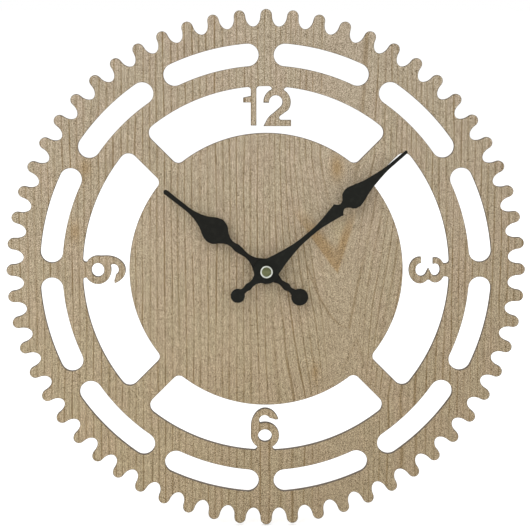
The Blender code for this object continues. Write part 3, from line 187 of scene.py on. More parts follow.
bpy.ops.mesh.primitive_plane_add(size=FLOOR_SIZE, location=(0.0, 0.0, FLOOR_HEIGHT))
floor = bpy.context.active_object
floor.name = "floor"
paint, tree = fresh_material("floor_paint")
matt = put_node(tree, "BsdfDiffuse", Color=FLOOR_PAINT)
glow = put_node(tree, "Emission", Color=WHITE, Strength=FLOOR_GLOW)
lit = put_node(tree, "AddShader")
feed(lit.inputs[0], matt.outputs[0])
feed(lit.inputs[1], glow.outputs[0])
show_directly(tree, "OutputMaterial", matt, lit)
floor.data.materials.append(paint)
floor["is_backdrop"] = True


def soft_lamp(name, place, size, power, colour):
    """A square lamp that shines towards the clock."""
    data = bpy.data.lights.new(name, "AREA")
    data.shape = "SQUARE"
    data.size = size
    data.energy = power
    data.color = colour
    lamp = new_object(name, data)
    lamp.location = place
    lamp.rotation_euler = (-Vector(place)).to_track_quat("-Z", "Y").to_euler()


soft_lamp("key_lamp", (-0.60, -0.92, 0.69), 0.9, 4.9, (0.94, 0.98, 1.0))
soft_lamp("fill_lamp", (1.6, -2.2, 0.6), 2.0, 6.0, (1.0, 0.96, 0.90))
soft_lamp("back_lamp", (0.6, 2.2, 1.5), 2.0, 18.0, (1.0, 1.0, 1.0))


# Movement case: the front tray of a quartz movement, injection moulded in black plastic.
# The battery bay is below, the gear chamber above, and the threaded bushing stands in front.
def arc(centre, radius, start, end, steps):
    """Points along an arc, both ends included, with angles in degrees; an ellipse has two radii."""
    wide, high = radius if isinstance(radius, tuple) else (radius, radius)
    turns = [radians(start + (end - start) * i / steps) for i in range(steps + 1)]
    return [(centre[0] + wide * cos(turn), centre[1] + high * sin(turn)) for turn in turns]


def circle(radius, sides, centre=(0.0, 0.0)):
    return arc(centre, radius, 0, 360 * (sides - 1) / sides, sides - 1)


def rounded_frame(left, right, bottom, top, radius, steps=6):
    """The outline of a rectangle with round corners."""
    corners = ((right - radius, top - radius, 0), (left + radius, top - radius, 90),
               (left + radius, bottom + radius, 180), (right - radius, bottom + radius, 270))
    points = []
    for x, y, start in corners:
        points += arc((x, y), radius, start, start + 90, steps)
    return points


def pick_only(*pieces):
    """Leaves just these pieces selected, the first of them active."""
    bpy.ops.object.select_all(action="DESELECT")
    for piece in pieces:
        piece.select_set(True)
    bpy.context.view_layer.objects.active = pieces[0]


def weld():
    """Joins points that lie together in the mesh being edited, and turns its faces outward."""
    bpy.ops.mesh.select_all(action="SELECT")
    bpy.ops.mesh.remove_doubles(threshold=1e-6)
    bpy.ops.mesh.normals_make_consistent(inside=False)


def upright_sheet(name, loops, rear, front, rounding=0.0, rounds=2):
    """Cuts a flat piece from its outlines, holes among them; the edges may be rounded."""
    drawing = bpy.data.curves.new(name, "CURVE")
    drawing.dimensions = "2D"
    drawing.fill_mode = "BOTH"
    drawing.extrude = (front - rear) / 2 - rounding
    drawing.bevel_depth = rounding
    drawing.bevel_resolution = rounds
    drawing.offset = -rounding
    for loop in loops:
        line = drawing.splines.new("POLY")
        line.points.add(len(loop) - 1)
        line.use_cyclic_u = True
        for point, (x, y) in zip(line.points, loop):
            point.co = (x, y, 0.0, 1.0)
    piece = new_object(name, drawing)
    piece.rotation_euler = (radians(90), 0.0, 0.0)
    piece.location = (0.0, -(rear + front) / 2, 0.0)
    pick_only(piece)
    bpy.ops.object.convert(target="MESH")
    bpy.ops.object.transform_apply()
    bpy.ops.object.mode_set(mode="EDIT")
    weld()
    bpy.ops.object.mode_set(mode="OBJECT")
    return piece


def block(left, right, bottom, top, rear, front):
    """A plain block, which starts a piece or cuts one."""
    middle = ((left + right) / 2, -(rear + front) / 2, (bottom + top) / 2)
    bpy.ops.mesh.primitive_cube_add(size=1.0, location=middle)
    piece = bpy.context.active_object
    piece.scale = (right - left, front - rear, top - bottom)
    bpy.ops.object.transform_apply()
    return piece


def spun(name, points, axis, shift, steps, closed):
    """Turns a line of points once round an axis; a line that stands off the axis is closed."""
    mesh = bpy.data.meshes.new(name)
    lines = [(i, i + 1) for i in range(len(points) - 1)]
    if closed:
        lines.append((len(points) - 1, 0))
    mesh.from_pydata(points, lines, [])
    piece = new_object(name, mesh)
    pick_only(piece)
    bpy.ops.object.mode_set(mode="EDIT")
    bpy.ops.mesh.select_all(action="SELECT")
    bpy.ops.mesh.spin(steps=steps, angle=radians(360), center=(0, 0, 0), axis=axis)
    weld()
    bpy.ops.transform.translate(value=shift)
    bpy.ops.object.mode_set(mode="OBJECT")
    return piece


def turned_piece(name, profile, at=(0.0, 0.0), steps=64):
    """Turns a profile, given as (radius, depth from the wall), about an axis square to the wall."""
    points = [(radius, -depth, 0.0) for radius, depth in profile]
    return spun(name, points, (0, 1, 0), (at[0], 0.0, at[1]), steps, profile[0][0] > 0.0)


def carve(piece, tool, operation="DIFFERENCE"):
    """Cuts one piece by another, or joins them, and throws the tool away."""
    step = piece.modifiers.new("carve", "BOOLEAN")
    step.operation = operation
    step.solver = "EXACT"
    step.object = tool
    pick_only(piece)
    bpy.ops.object.modifier_apply(modifier=step.name)
    bpy.data.objects.remove(tool, do_unlink=True)


def cut(piece, loops, rear, front):
    """Cuts flat openings of these outlines in a piece."""
    carve(piece, upright_sheet("tool", loops, rear, front))


def shade(piece, angle=40.0):
    """Shades a piece smoothly, except across sharp edges."""
    pick_only(piece)
    bpy.ops.object.shade_smooth_by_angle(angle=radians(angle))


def mixed(share, first, second, blend="MIX"):
    """Mixes two colours, each given as numbers or as a reading."""
    node = put_node(tree_of(share, first, second), "Mix", data_type="RGBA", blend_type=blend)
    for index, value in ((0, share), (6, first), (7, second)):
        feed(node.inputs[index], value)
    return Reading(node.outputs[2])


def scaled(colour, factor, lift=0.0):
    return tuple(factor * part + lift for part in colour)


def piece_place(tree):
    return put_node(tree, "TexCoord").outputs["Object"]


def cloudy(tree, size, stretch=(1.0, 1.0, 1.0), detail=2.0, shift=0.0):
    """Noise from nought to one whose patches have about this size, drawn out along an axis."""
    fit = put_node(tree, "Mapping")
    fit.inputs["Scale"].default_value = [1 / (size * way) for way in stretch]
    fit.inputs["Location"].default_value = (shift, 0.7 * shift, 1.3 * shift)
    feed(fit.inputs["Vector"], piece_place(tree))
    noise = put_node(tree, "TexNoise", Scale=1.0, Detail=detail)
    feed(noise.inputs["Vector"], fit.outputs[0])
    return Reading(noise.outputs["Fac"])


def limits(value, low, high, start=0.0, end=1.0):
    """Spreads the range from low to high over the range from start to end, smoothly."""
    node = put_node(tree_of(value), "MapRange", interpolation_type="SMOOTHSTEP",
                    From_Min=low, From_Max=high, To_Min=start, To_Max=end)
    feed(node.inputs["Value"], value)
    return Reading(node.outputs["Result"])


def finished(made, colour, roughness, height, strength, depth, **values):
    """Puts the colour, roughness and surface relief of a finish on its shader."""
    tree = made.node_tree
    shader = put_node(tree, "BsdfPrincipled", **values)
    relief = put_node(tree, "Bump", Strength=strength, Distance=depth)
    feed(shader.inputs["Base Color"], colour)
    feed(shader.inputs["Roughness"], roughness)
    feed(relief.inputs["Height"], height)
    feed(shader.inputs["Normal"], relief.outputs[0])
    feed(put_node(tree, "OutputMaterial").inputs["Surface"], shader.outputs[0])
    return made


def moulded_finish(name, colour, sheen=0.42, texture=0.00035, depth=0.00003):
    """Moulded plastic with the fine matt texture of its mould and a few duller flow marks."""
    made, tree = fresh_material(name)
    flow = limits(cloudy(tree, 0.009, (1, 1, 0.4), 3.0, 2.0), 0.35, 0.70)
    tone = mixed(flow, colour, scaled(colour, 1.18, 0.001))
    return finished(made, tone, flow * 0.12 + sheen, cloudy(tree, texture, detail=3.0),
                    0.3, depth, Specular_IOR_Level=0.4)


CASE_HALF = 0.0280
CASE_DEPTH = 0.0160
OUTSIDE, BEHIND = 0.029, -0.001  # where tools end beside the case, and behind it
BAY_LOW, BAY_TOP = -0.0270, -0.0119
CHAMBER_LOW, CHAMBER_SIDE = -0.0109, 0.0270
WALL_INSIDE = 0.0150
LID_SEAT = 0.0015
CONTACT_PASSAGE = 0.0259
GRIP_FACE = 0.0276  # the bottom of the grooves in the case's sides
BUSHING_BORE = 0.0028
BUSHING_END = 0.0279
THREAD_ROOT, THREAD_CREST = 0.00372, 0.00398
THREAD_PITCH, THREAD_TURNS = 0.0005, 23

square = rounded_frame(-CASE_HALF, CASE_HALF, -CASE_HALF, CASE_HALF, 0.0020)
tray = upright_sheet("movement_tray", [square], 0.0, CASE_DEPTH, 0.0005)
for low, top in ((BAY_LOW, BAY_TOP), (CHAMBER_LOW, CHAMBER_SIDE)):
    cut(tray, [rounded_frame(-CHAMBER_SIDE, CHAMBER_SIDE, low, top, 0.0006)], BEHIND, WALL_INSIDE)
carve(tray, block(-OUTSIDE, OUTSIDE, CHAMBER_LOW - 0.0003, OUTSIDE, BEHIND, LID_SEAT))
for side in (-1, 1):
    passage = sorted((side * CHAMBER_SIDE, side * CONTACT_PASSAGE))
    carve(tray, block(*passage, BAY_TOP - 0.001, CHAMBER_LOW + 0.001, BEHIND, 0.0122))
cut(tray, [rounded_frame(-0.008, 0.008, -0.034, -0.026, 0.002)], BEHIND, 0.005)
cut(tray, [circle(BUSHING_BORE, 48)], 0.0145, 0.0290)
for side in (-1, 1):
    for height in (0.0160, 0.0060):
        catch = sorted((side * GRIP_FACE, side * OUTSIDE))
        carve(tray, block(*catch, height, height + 0.0060, 0.0035, 0.0062))
        carve(tray, block(*catch, height + 0.0010, height + 0.0050, 0.0085, 0.0135))
for number in range(9):
    rib = -0.0200 + 0.0050 * number
    carve(tray, block(rib - 0.0004, rib + 0.0004, GRIP_FACE, OUTSIDE, 0.0040, 0.0140))
    carve(tray, block(rib - 0.0004, rib + 0.0004, -OUTSIDE, -GRIP_FACE, 0.0070, 0.0140))

thread = [(BUSHING_BORE, CASE_DEPTH - 0.0004), (0.0046, CASE_DEPTH - 0.0004),
          (0.0046, CASE_DEPTH + 0.00015), (THREAD_ROOT, CASE_DEPTH + 0.00018)]
for turn in range(THREAD_TURNS):
    ridge = CASE_DEPTH + 0.0002 + THREAD_PITCH * turn
    thread += [(THREAD_ROOT, ridge), (THREAD_CREST, ridge + 0.00019),
               (THREAD_CREST, ridge + 0.00026), (THREAD_ROOT, ridge + 0.00045)]
thread += [(THREAD_ROOT, BUSHING_END - 0.0002), (0.0036, BUSHING_END), (0.0029, BUSHING_END),
           (BUSHING_BORE, BUSHING_END - 0.0001)]
bushing = turned_piece("bushing", thread[::-1], steps=48)
shade(tray, 30.0)
shade(bushing, 30.0)
pick_only(tray, bushing)
bpy.ops.object.join()
tray.data.materials.append(moulded_finish("case_black_tray", (0.02, 0.02, 0.021)))
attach(tray, "clock")
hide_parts("movement_case_front")


# Works: what the case holds. The wheels, plate and bobbin are white nylon mouldings, the minute
# shaft is turned brass, and the coil drives a ferrite rotor between the ends of an iron stator.
def finish_node(name, made, slot):
    """Gives a CAD piece that keeps its shape its own finish."""
    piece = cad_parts[name]
    piece.data.materials.clear()
    piece.data.materials.append(made)


def piece_axes(tree):
    """Readings of the place on a piece: across, in depth and up."""
    place = put_node(tree, "SeparateXYZ")
    feed(place.inputs[0], piece_place(tree))
    return [Reading(socket) for socket in place.outputs]


def metal_finish(name, colour, rough, spread=0.12, turning=0.0):
    """Metal with fine scratches and duller clouds; a turned part also shows its rings."""
    made, tree = fresh_material(name)
    height = cloudy(tree, 0.0004, (0.25, 0.25, 3.0), 3.0)
    clouds = limits(cloudy(tree, 0.0040, detail=4.0, shift=6.0), 0.35, 0.70)
    tone = mixed(clouds, scaled(colour, 1 + spread), scaled(colour, 1 - spread))
    if turning:
        across, _, up = piece_axes(tree)
        reach = calc("SQRT", calc("POWER", across, 2.0) + calc("POWER", up, 2.0))
        height = height + calc("SINE", reach / turning) * 0.5
    return finished(made, tone, clouds * 0.10 + (rough - 0.04), height,
                    0.12, 0.00003, Metallic=1.0)


def wound_finish(name, colour, pitch):
    """Enamelled wire, laid turn beside turn, with painted shade in the grooves between the turns.
    """
    made, tree = fresh_material(name)
    along = (piece_axes(tree)[0] + cloudy(tree, 0.002) * pitch) / pitch
    crown_and_groove_shade = calc("ABSOLUTE", calc("SINE", along * pi))
    # Painted shade: the wire's colour darkens in the grooves between the turns; the same reading
    # gives the relief.
    tone = mixed(crown_and_groove_shade, scaled(colour, 0.35), colour)
    return finished(made, tone, 0.30, crown_and_groove_shade, 0.8, 0.00006, Metallic=1.0)


def circuit_finish(name):
    """Glass laminate under green lacquer, with paler copper tracks and tinned pads."""
    made, tree = fresh_material(name)
    fit = put_node(tree, "Mapping")
    fit.inputs["Rotation"].default_value = (radians(90), 0, 0)
    feed(fit.inputs["Vector"], piece_place(tree))
    tracks = put_node(tree, "TexBrick", Scale=420.0, Mortar_Size=0.06)
    feed(tracks.inputs["Vector"], fit.outputs[0])
    pads = put_node(tree, "TexVoronoi", Scale=520.0)
    feed(pads.inputs["Vector"], fit.outputs[0])
    pad = limits(Reading(pads.outputs["Distance"]), 0.16, 0.20, 1.0, 0.0)
    lacquer = mixed(cloudy(tree, 0.003), (0.01, 0.11, 0.04), (0.02, 0.17, 0.06))
    tone = mixed(Reading(tracks.outputs["Fac"]), lacquer, (0.06, 0.30, 0.11))
    tone = mixed(pad, tone, (0.62, 0.60, 0.55))
    return finished(made, tone, 0.35, pad, 0.3, 0.00004)


RING_STEP = 0.00003  # the spacing of the tool marks on turned metal
for wheel in ("fifth_wheel", "seconds_wheel", "third_wheel", "minute_wheel", "hour_wheel",
              "rotor_pinion"):
    made = moulded_finish("white_nylon_" + wheel, (0.70, 0.69, 0.64), 0.36)
    finish_node(wheel, made, "white_nylon")
for node, slot, made in (
        ("train_plate", "white_nylon",
         moulded_finish("white_nylon_plate", (0.68, 0.67, 0.62), 0.45)),
        ("coil_bobbin", "white_nylon",
         moulded_finish("white_nylon_bobbin", (0.66, 0.64, 0.56), 0.45)),
        ("centre_wheel", "shaft_brass",
         metal_finish("shaft_brass_centre", (0.70, 0.50, 0.20), 0.30, turning=RING_STEP)),
        ("rotor_magnet", "rotor_ferrite",
         moulded_finish("rotor_ferrite_ring", (0.06, 0.06, 0.064), 0.55, 0.0002)),
        ("stator_plate", "stator_iron",
         metal_finish("stator_iron_sheet", (0.44, 0.44, 0.45), 0.42, 0.18)),
        ("coil_core", "stator_iron",
         metal_finish("stator_iron_core", (0.40, 0.40, 0.41), 0.45, 0.18)),
        ("coil_winding", "winding_copper",
         wound_finish("winding_copper_turns", (0.62, 0.24, 0.10), 0.00012)),
        ("circuit_board", "circuit_green", circuit_finish("circuit_green_board")),
        ("quartz_crystal", "can_steel",
         metal_finish("can_steel_drawn", (0.66, 0.66, 0.66), 0.24)),
        ("chip_cover", "chip_resin",
         moulded_finish("chip_resin_drop", (0.012, 0.012, 0.012), 0.22, 0.0008))):
    finish_node(node, made, slot)


# Cover: the moulded rear lid of the gear chamber, held by two latches. It has a raised border,
# a well for the setting knob, four sunk ejector marks, and a moulded turning arrow.
LID_THICKNESS = 0.0012
PANEL_HALF, PANEL_RECESS = 0.0262, 0.0005
MARK_DEPTH, VENT_DEPTH, ARROW_DEPTH = 0.00085, 0.00100, 0.0008
KNOB_AXIS = (0.0090, 0.0)
WELL_BORE = 0.0048

lid = upright_sheet("movement_cover",
                    [rounded_frame(-CASE_HALF, CASE_HALF, CHAMBER_LOW, CASE_HALF, 0.0020)],
                    0.0, LID_THICKNESS, 0.0003)
panel = rounded_frame(-PANEL_HALF, PANEL_HALF, CHAMBER_LOW + 0.0018, PANEL_HALF, 0.0014)
cut(lid, [panel], BEHIND, PANEL_RECESS)
for place in ((-0.0220, 0.0220), (0.0220, 0.0220), (-0.0220, -0.0050), (0.0220, -0.0050)):
    cut(lid, [circle(0.0016, 28, place)], BEHIND, MARK_DEPTH)
for number in range(5):
    slit = -0.0070 + 0.0020 * number
    vent = rounded_frame(-0.0215, -0.0125, slit + 0.0090, slit + 0.0099, 0.00044, 4)
    cut(lid, [vent], BEHIND, VENT_DEPTH)
well = turned_piece("knob_well", [
    (0.0056, 0.0004), (0.0056, 0.0031), (0.0055, 0.0032), (0.0012, 0.0032), (0.0012, 0.0023),
    (WELL_BORE, 0.0023), (WELL_BORE, 0.0004)], KNOB_AXIS, 56)
cut(lid, [circle(WELL_BORE, 56, KNOB_AXIS)], BEHIND, 0.0020)
carve(lid, well, "UNION")
sweep = arc(KNOB_AXIS, 0.0083, 25, 155, 20) + arc(KNOB_AXIS, 0.0075, 155, 25, 20)
cut(lid, [sweep], BEHIND, ARROW_DEPTH)
for angle, way in ((25, -1), (155, 1)):
    head = [arc(KNOB_AXIS, radius, angle + turn * way, angle + turn * way, 1)[0]
            for radius, turn in ((0.0079, 16), (0.0066, -1), (0.0092, -1))]
    cut(lid, [head], BEHIND, ARROW_DEPTH)
for side in (-1, 1):
    tongue = sorted((side * 0.0267, side * 0.0257))
    carve(lid, block(*tongue, 0.0160, 0.0220, 0.0006, 0.0060), "UNION")
shade(lid, 30.0)
lid.data.materials.append(moulded_finish("case_black_cover", (0.023, 0.023, 0.024), 0.38))
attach(lid, "clock")
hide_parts("movement_case_rear")


# Setting knob: a small notched wheel of black plastic, pressed on the minute wheel's arbor.
# A fingertip turns it in its well to set the hands.
KNOB_RADIUS, KNOB_NOTCH_RADIUS = 0.0045, 0.00415
NOTCH_COUNT = 20
rim = []
for notch in range(NOTCH_COUNT):
    middle = 360 // NOTCH_COUNT * notch
    rim += arc(KNOB_AXIS, KNOB_RADIUS, middle - 5.5, middle + 5.5, 4)
    rim += arc(KNOB_AXIS, KNOB_NOTCH_RADIUS, middle + 7.5, middle + 10.5, 2)
knob = upright_sheet("setting_wheel", [rim], 0.0003, 0.0020, 0.00012, 1)
hollow = [(0.0, 0.0008), (0.0024, 0.0006), (0.0031, 0.0001), (0.0, 0.0001)]
carve(knob, turned_piece("dish_tool", hollow, KNOB_AXIS, 40))
grip = block(KNOB_AXIS[0] - 0.0024, KNOB_AXIS[0] + 0.0024, -0.00045, 0.00045, 0.0004, 0.0010)
carve(knob, grip, "UNION")
shade(knob, 30.0)
knob.data.materials.append(moulded_finish("knob_black_wheel", (0.028, 0.028, 0.029), 0.34))
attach(knob, "minute_work")
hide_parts("setting_knob")


# Battery: a drawn steel cell in a shrunk plastic sleeve, which laps over both ends.
# It lies in the bay with its raised pole to the right; two plated contacts touch its ends.
SLEEVE_BLUE = (0.02, 0.10, 0.28)
BAND_SILVER = (0.62, 0.64, 0.66)
BAND_LEFT, BAND_RIGHT = 0.0150, 0.0190
CELL_DEPTH, CELL_HEIGHT = 0.00745, -0.01945
CELL_RADIUS = 0.00725
LAP_RADIUS = 0.0006  # the sleeve's round lap over each end
BARE_END_RADIUS = 0.0059


def sleeve_finish(name):
    """A printed shrink sleeve: an even colour with one plain band, and a faint metallic grain."""
    made, tree = fresh_material(name)
    across = piece_axes(tree)[0]
    inside = (limits(across, BAND_LEFT - 0.00005, BAND_LEFT + 0.00005)
              * limits(across, BAND_RIGHT - 0.00005, BAND_RIGHT + 0.00005, 1.0, 0.0))
    flake = cloudy(tree, 0.00025)
    dark = mixed(flake, scaled(SLEEVE_BLUE, 0.80), SLEEVE_BLUE)
    light = mixed(flake, scaled(BAND_SILVER, 0.85), BAND_SILVER)
    ripple = cloudy(tree, 0.006, (0.3, 1, 1), 2.0, 4.0)
    return finished(made, mixed(inside, dark, light), 0.26, ripple, 0.15, 0.0003)


def finish_faces(piece, made, chosen):
    """Gives another finish to the faces of a piece that the test picks out."""
    piece.data.materials.append(made)
    number = len(piece.data.materials) - 1
    for face in piece.data.polygons:
        if chosen(face):
            face.material_index = number


def off_axis(face):
    return hypot(face.center.y + CELL_DEPTH, face.center.z - CELL_HEIGHT)


lap = CELL_RADIUS - LAP_RADIUS
profile = [(0.0, -0.02430), (0.0050, -0.02430), (0.0053, -0.02415), (0.0055, -0.02390),
           (0.0060, -0.02390)]
profile += arc((lap, -0.02390), LAP_RADIUS, 180, 360, 8)[1:]
profile += [(CELL_RADIUS, -0.02300), (CELL_RADIUS, 0.02360)]
profile += arc((lap, 0.02410), LAP_RADIUS, 0, 180, 8)
profile += [(0.0060, 0.02395), (0.0034, 0.02405), (0.00275, 0.02440), (0.00275, 0.02570),
            (0.0025, 0.0260), (0.0, 0.0260)]
cell = spun("battery_cell_sleeved", [(along, 0.0, radius) for radius, along in profile],
            (1, 0, 0), (0.0, -CELL_DEPTH, CELL_HEIGHT), 64, False)
cell.data.materials.append(sleeve_finish("cell_wrap_sleeve"))
shade(cell, 35.0)
end_metal = metal_finish("cell_wrap_bare_steel", (0.60, 0.60, 0.58), 0.30)
finish_faces(cell, end_metal, lambda face: off_axis(face) < BARE_END_RADIUS)
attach(cell, "clock")
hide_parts("battery_cell")
for contact in ("positive", "negative"):
    made = metal_finish("contact_nickel_" + contact, (0.64, 0.61, 0.55), 0.28)
    finish_node("contact_" + contact, made, "contact_nickel")


# Hanger: zinc-plated steel strip, folded twice so that its nail plate lies on the wall above the
# case, and clamped on the bushing by its eye. A rubber washer keeps it off the board.
def folded_path(corners, radius, steps=5):
    """A path through the corners, each of them taken as a smooth bend."""
    path = [corners[0]]
    for before, corner, after in zip(corners, corners[1:], corners[2:]):
        here = Vector(corner)
        back = (Vector(before) - here).normalized()
        ahead = (Vector(after) - here).normalized()
        start, end = here + back * radius, here + ahead * radius
        centre = start + ahead * radius
        for step in range(steps + 1):
            turn = pi / 2 * step / steps
            point = centre + (start - centre) * cos(turn) + (end - centre) * sin(turn)
            path.append((point.x, point.y))
    return path + [corners[-1]]


def strip_outline(path, thickness):
    """The two faces of sheet metal that follows a path."""
    left, right = [], []
    for index, point in enumerate(path):
        one, other = path[max(index - 1, 0)], path[min(index + 1, len(path) - 1)]
        run = (Vector(other) - Vector(one)).normalized() * (thickness / 2)
        left.append((point[0] - run.y, point[1] + run.x))
        right.append((point[0] + run.y, point[1] - run.x))
    return left + right[::-1]


def soften(piece, width, angle=35.0):
    """Rounds the sharp edges of a finished shape by a small amount."""
    rounded = piece.modifiers.new("soften", "BEVEL")
    rounded.width = width
    rounded.segments = 1
    rounded.limit_method = "ANGLE"
    rounded.angle_limit = radians(angle)
    pick_only(piece)
    bpy.ops.object.modifier_apply(modifier=rounded.name)


def zinc_finish(name):
    """Zinc plating: a dull bluish grey in small crystals, with finer scratches over it."""
    made, tree = fresh_material(name)
    crystals = put_node(tree, "TexVoronoi", Scale=420.0)
    feed(crystals.inputs["Vector"], piece_place(tree))
    parted = put_node(tree, "SeparateColor")
    feed(parted.inputs[0], crystals.outputs["Color"])
    one, other = Reading(parted.outputs[0]), Reading(parted.outputs[1])
    tone = mixed(one, (0.52, 0.54, 0.56), (0.66, 0.67, 0.67))
    worn = limits(cloudy(tree, 0.006, detail=4.0, shift=3.0), 0.45, 0.75)
    scratches = cloudy(tree, 0.0004, (0.25, 0.25, 3.0), 3.0)
    return finished(made, tone, other * 0.12 + worn * 0.08 + 0.30, scratches,
                    0.12, 0.00003, Metallic=1.0)


HANGER_FRONT, HANGER_SHEET = 0.0171, 0.0008
HANGER_TOP = 0.0444  # the upper edge of the nail plate
STRIP_HALF = 0.0120
BUSHING_HOLE = 0.0043
shelf, bend = 0.0290, 0.0009
path = folded_path([(-0.0167, 0.0), (-0.0167, shelf), (-0.0006, shelf), (-0.0006, HANGER_TOP)],
                   bend)
strip = upright_sheet("wall_hook", [strip_outline(path, HANGER_SHEET)], -STRIP_HALF, STRIP_HALF)
strip.rotation_euler = (0.0, 0.0, radians(90))
bpy.ops.object.transform_apply()
eye = upright_sheet("eye", [circle(0.0130, 72)], HANGER_FRONT - HANGER_SHEET, HANGER_FRONT)
carve(strip, eye, "UNION")
cut(strip, [circle(BUSHING_HOLE, 48)], 0.0150, 0.0180)
cut(strip, [rounded_frame(-0.0060, 0.0060, 0.0329, 0.0409, 0.0025)], BEHIND, 0.0020)
for way in (-1, 1):
    corner = [(way * 0.0130, 0.0460), (way * 0.0130, 0.0414)]
    corner += arc((way * 0.0090, 0.0414), (way * 0.0030, 0.0030), 0, 90, 6)
    cut(strip, [corner + [(way * 0.0090, 0.0460)]], BEHIND, 0.0020)
soften(strip, 0.00012)
shade(strip, 35.0)
strip.data.materials.append(zinc_finish("hanger_zinc_plate"))
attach(strip, "clock")
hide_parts("wall_hanger")


# Gasket: a soft black rubber washer between the hanger and the back of the board.
# It is cut from moulded sheet, and its edges are rounded where the nut squeezes it.
def ring_like(name, node, inner, outer, rounding, made, body):
    """A turned ring with rounded edges that stands for a CAD ring of the same depth."""
    low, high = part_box(node)
    section = rounded_frame(inner, outer, -high[1], -low[1], rounding, 3)
    ring = turned_piece(name, section, steps=72)
    shade(ring)
    ring.data.materials.append(made)
    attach(ring, body)
    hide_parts(node)


ring_like("rubber_ring", "rubber_gasket", BUSHING_HOLE, 0.0110, 0.0003,
          moulded_finish("gasket_rubber_sheet", (0.016, 0.016, 0.016), 0.62, 0.0006, 0.00006),
          "clock")


# Board: a 5 mm fibreboard sheet with a wood veneer on both faces, cut out by laser, its numerals
# still joined to the ring. The cut leaves the edges brown, and a light sanding rounds them.
def polar(radius, angle):
    """A point at an angle in degrees, clockwise from twelve o'clock."""
    turn = radians(angle)
    return (radius * sin(turn), radius * cos(turn))


def turned_about(loop, angle):
    """Turns an outline clockwise about the shaft by an angle in degrees."""
    turn = radians(angle)
    across, out = cos(turn), sin(turn)
    return [(x * across + y * out, y * across - x * out) for x, y in loop]


def front_loops(piece):
    """Walks round the front face of a flat piece and gives each closed outline."""
    shape = bmesh.new()
    shape.from_mesh(piece.data)
    bmesh.ops.remove_doubles(shape, verts=shape.verts, dist=1e-6)
    beside = {}
    for edge in shape.edges:
        if sum(face.normal.y < -0.9 for face in edge.link_faces) == 1:
            for one, other in (edge.verts, reversed(edge.verts)):
                beside.setdefault(one.index, []).append(other.index)
    places = {vert.index: (vert.co.x, vert.co.z) for vert in shape.verts}
    shape.free()
    loops = []
    while beside:
        last = min(beside)
        loop, here = [last], beside[last][0]
        while here != loop[0]:
            loop.append(here)
            last, here = here, next(there for there in beside[here] if there != last)
        for corner in loop:
            beside.pop(corner)
        loops.append([places[corner] for corner in loop])
    return loops


HUB_RADIUS = 0.0896
WINDOW_RADIUS = 0.1201
SLOT_INNER_RADIUS = 0.13345
SLOT_OUTER_RADIUS = 0.1481
SLOT_COUNT = 12
VALLEY_RADIUS = 0.1589
SHOULDER_RADIUS = 0.1659
TIP_RADIUS = 0.1700
TOOTH_COUNT = 60
TOOTH_SHARE = 0.435
RIB_WIDTH = 0.0098
SPOKE_WIDTH = 0.0153
OUTER_FILLET, INNER_FILLET = 0.0060, 0.0045  # of a window's corners
NUMERAL_BASE = 0.0941
NECK_FLARE = 0.0020
EDGE_ROUNDING = 0.00045
WINDOW_TOOL, NUMERAL_TOOL = (0.01, 0.02), (0.009, 0.021)  # their rear and front


def toothed_outline():
    """Sixty teeth, each with a half-round tip, and a deep round valley between each two."""
    half_pitch = 180 / TOOTH_COUNT
    half_tip = half_pitch * TOOTH_SHARE
    half_valley = half_pitch - half_tip
    points = []
    for tooth in range(TOOTH_COUNT):
        middle = tooth * 2 * half_pitch
        rim = arc((middle, SHOULDER_RADIUS), (half_tip, TIP_RADIUS - SHOULDER_RADIUS),
                  165, 15, 10)
        rim += arc((middle + half_pitch, SHOULDER_RADIUS),
                   (half_valley, SHOULDER_RADIUS - VALLEY_RADIUS), 180, 360, 12)
        points += [polar(radius, angle) for angle, radius in rim]
    return points


def slot_outline():
    """A curved slot with round ends, centred on twelve o'clock."""
    middle = (SLOT_OUTER_RADIUS + SLOT_INNER_RADIUS) / 2
    end = (SLOT_OUTER_RADIUS - SLOT_INNER_RADIUS) / 2
    sweep = 180 / SLOT_COUNT - degrees(asin((RIB_WIDTH / 2 + end) / middle))
    points = arc((0, 0), SLOT_OUTER_RADIUS, 90 + sweep, 90 - sweep, 30)
    points += arc(polar(middle, sweep), end, 90 - sweep, -90 - sweep, 16)[1:-1]
    points += arc((0, 0), SLOT_INNER_RADIUS, 90 - sweep, 90 + sweep, 26)
    points += arc(polar(middle, -sweep), end, 270 + sweep, 90 + sweep, 16)[1:-1]
    return points


def window_outline():
    """The opening between two spokes, centred on twelve o'clock, with rounded corners."""
    def corner(fillet, reach):
        """Where a fillet's centre lies, beside the spoke at the right."""
        across = SPOKE_WIDTH / 2 + fillet
        return turned_about([(-across, sqrt(reach * reach - across * across))], 45)[0]

    outer = corner(OUTER_FILLET, WINDOW_RADIUS - OUTER_FILLET)
    inner = corner(INNER_FILLET, HUB_RADIUS + INNER_FILLET)
    outer_angle = degrees(atan2(outer[1], outer[0]))
    inner_angle = degrees(atan2(inner[1], inner[0]))
    right = arc(outer, OUTER_FILLET, outer_angle, -45, 12)
    right += arc(inner, INNER_FILLET, -45, inner_angle - 180, 12)
    left = [(-x, y) for x, y in reversed(right)]
    hub = arc((0, 0), HUB_RADIUS, inner_angle, 180 - inner_angle, 52)[1:-1]
    ring = arc((0, 0), WINDOW_RADIUS, 180 - outer_angle, outer_angle, 60)[1:-1]
    return right + hub + left + ring


def drawn(points, aside=0.0):
    """Puts a stroke, drawn in millimetres from the numeral's base, in the upper window."""
    return [(0.001 * (x + aside), NUMERAL_BASE + 0.001 * y) for x, y in points]


def neck(left, right, start=21.4):
    """The bar from a numeral to the ring, which widens in a small curve where it meets it."""
    def side(edge, way):
        edge, low = drawn([(edge, start)])[0]
        out = edge + way * NECK_FLARE
        foot = sqrt(WINDOW_RADIUS ** 2 - out ** 2)
        flare = arc((out, foot - NECK_FLARE), (-way * NECK_FLARE, NECK_FLARE), 0, 90, 6)
        return [(edge, low)] + flare + [(flare[-1][0], foot + 0.003)]

    return side(left, -1) + side(right, 1)[::-1]


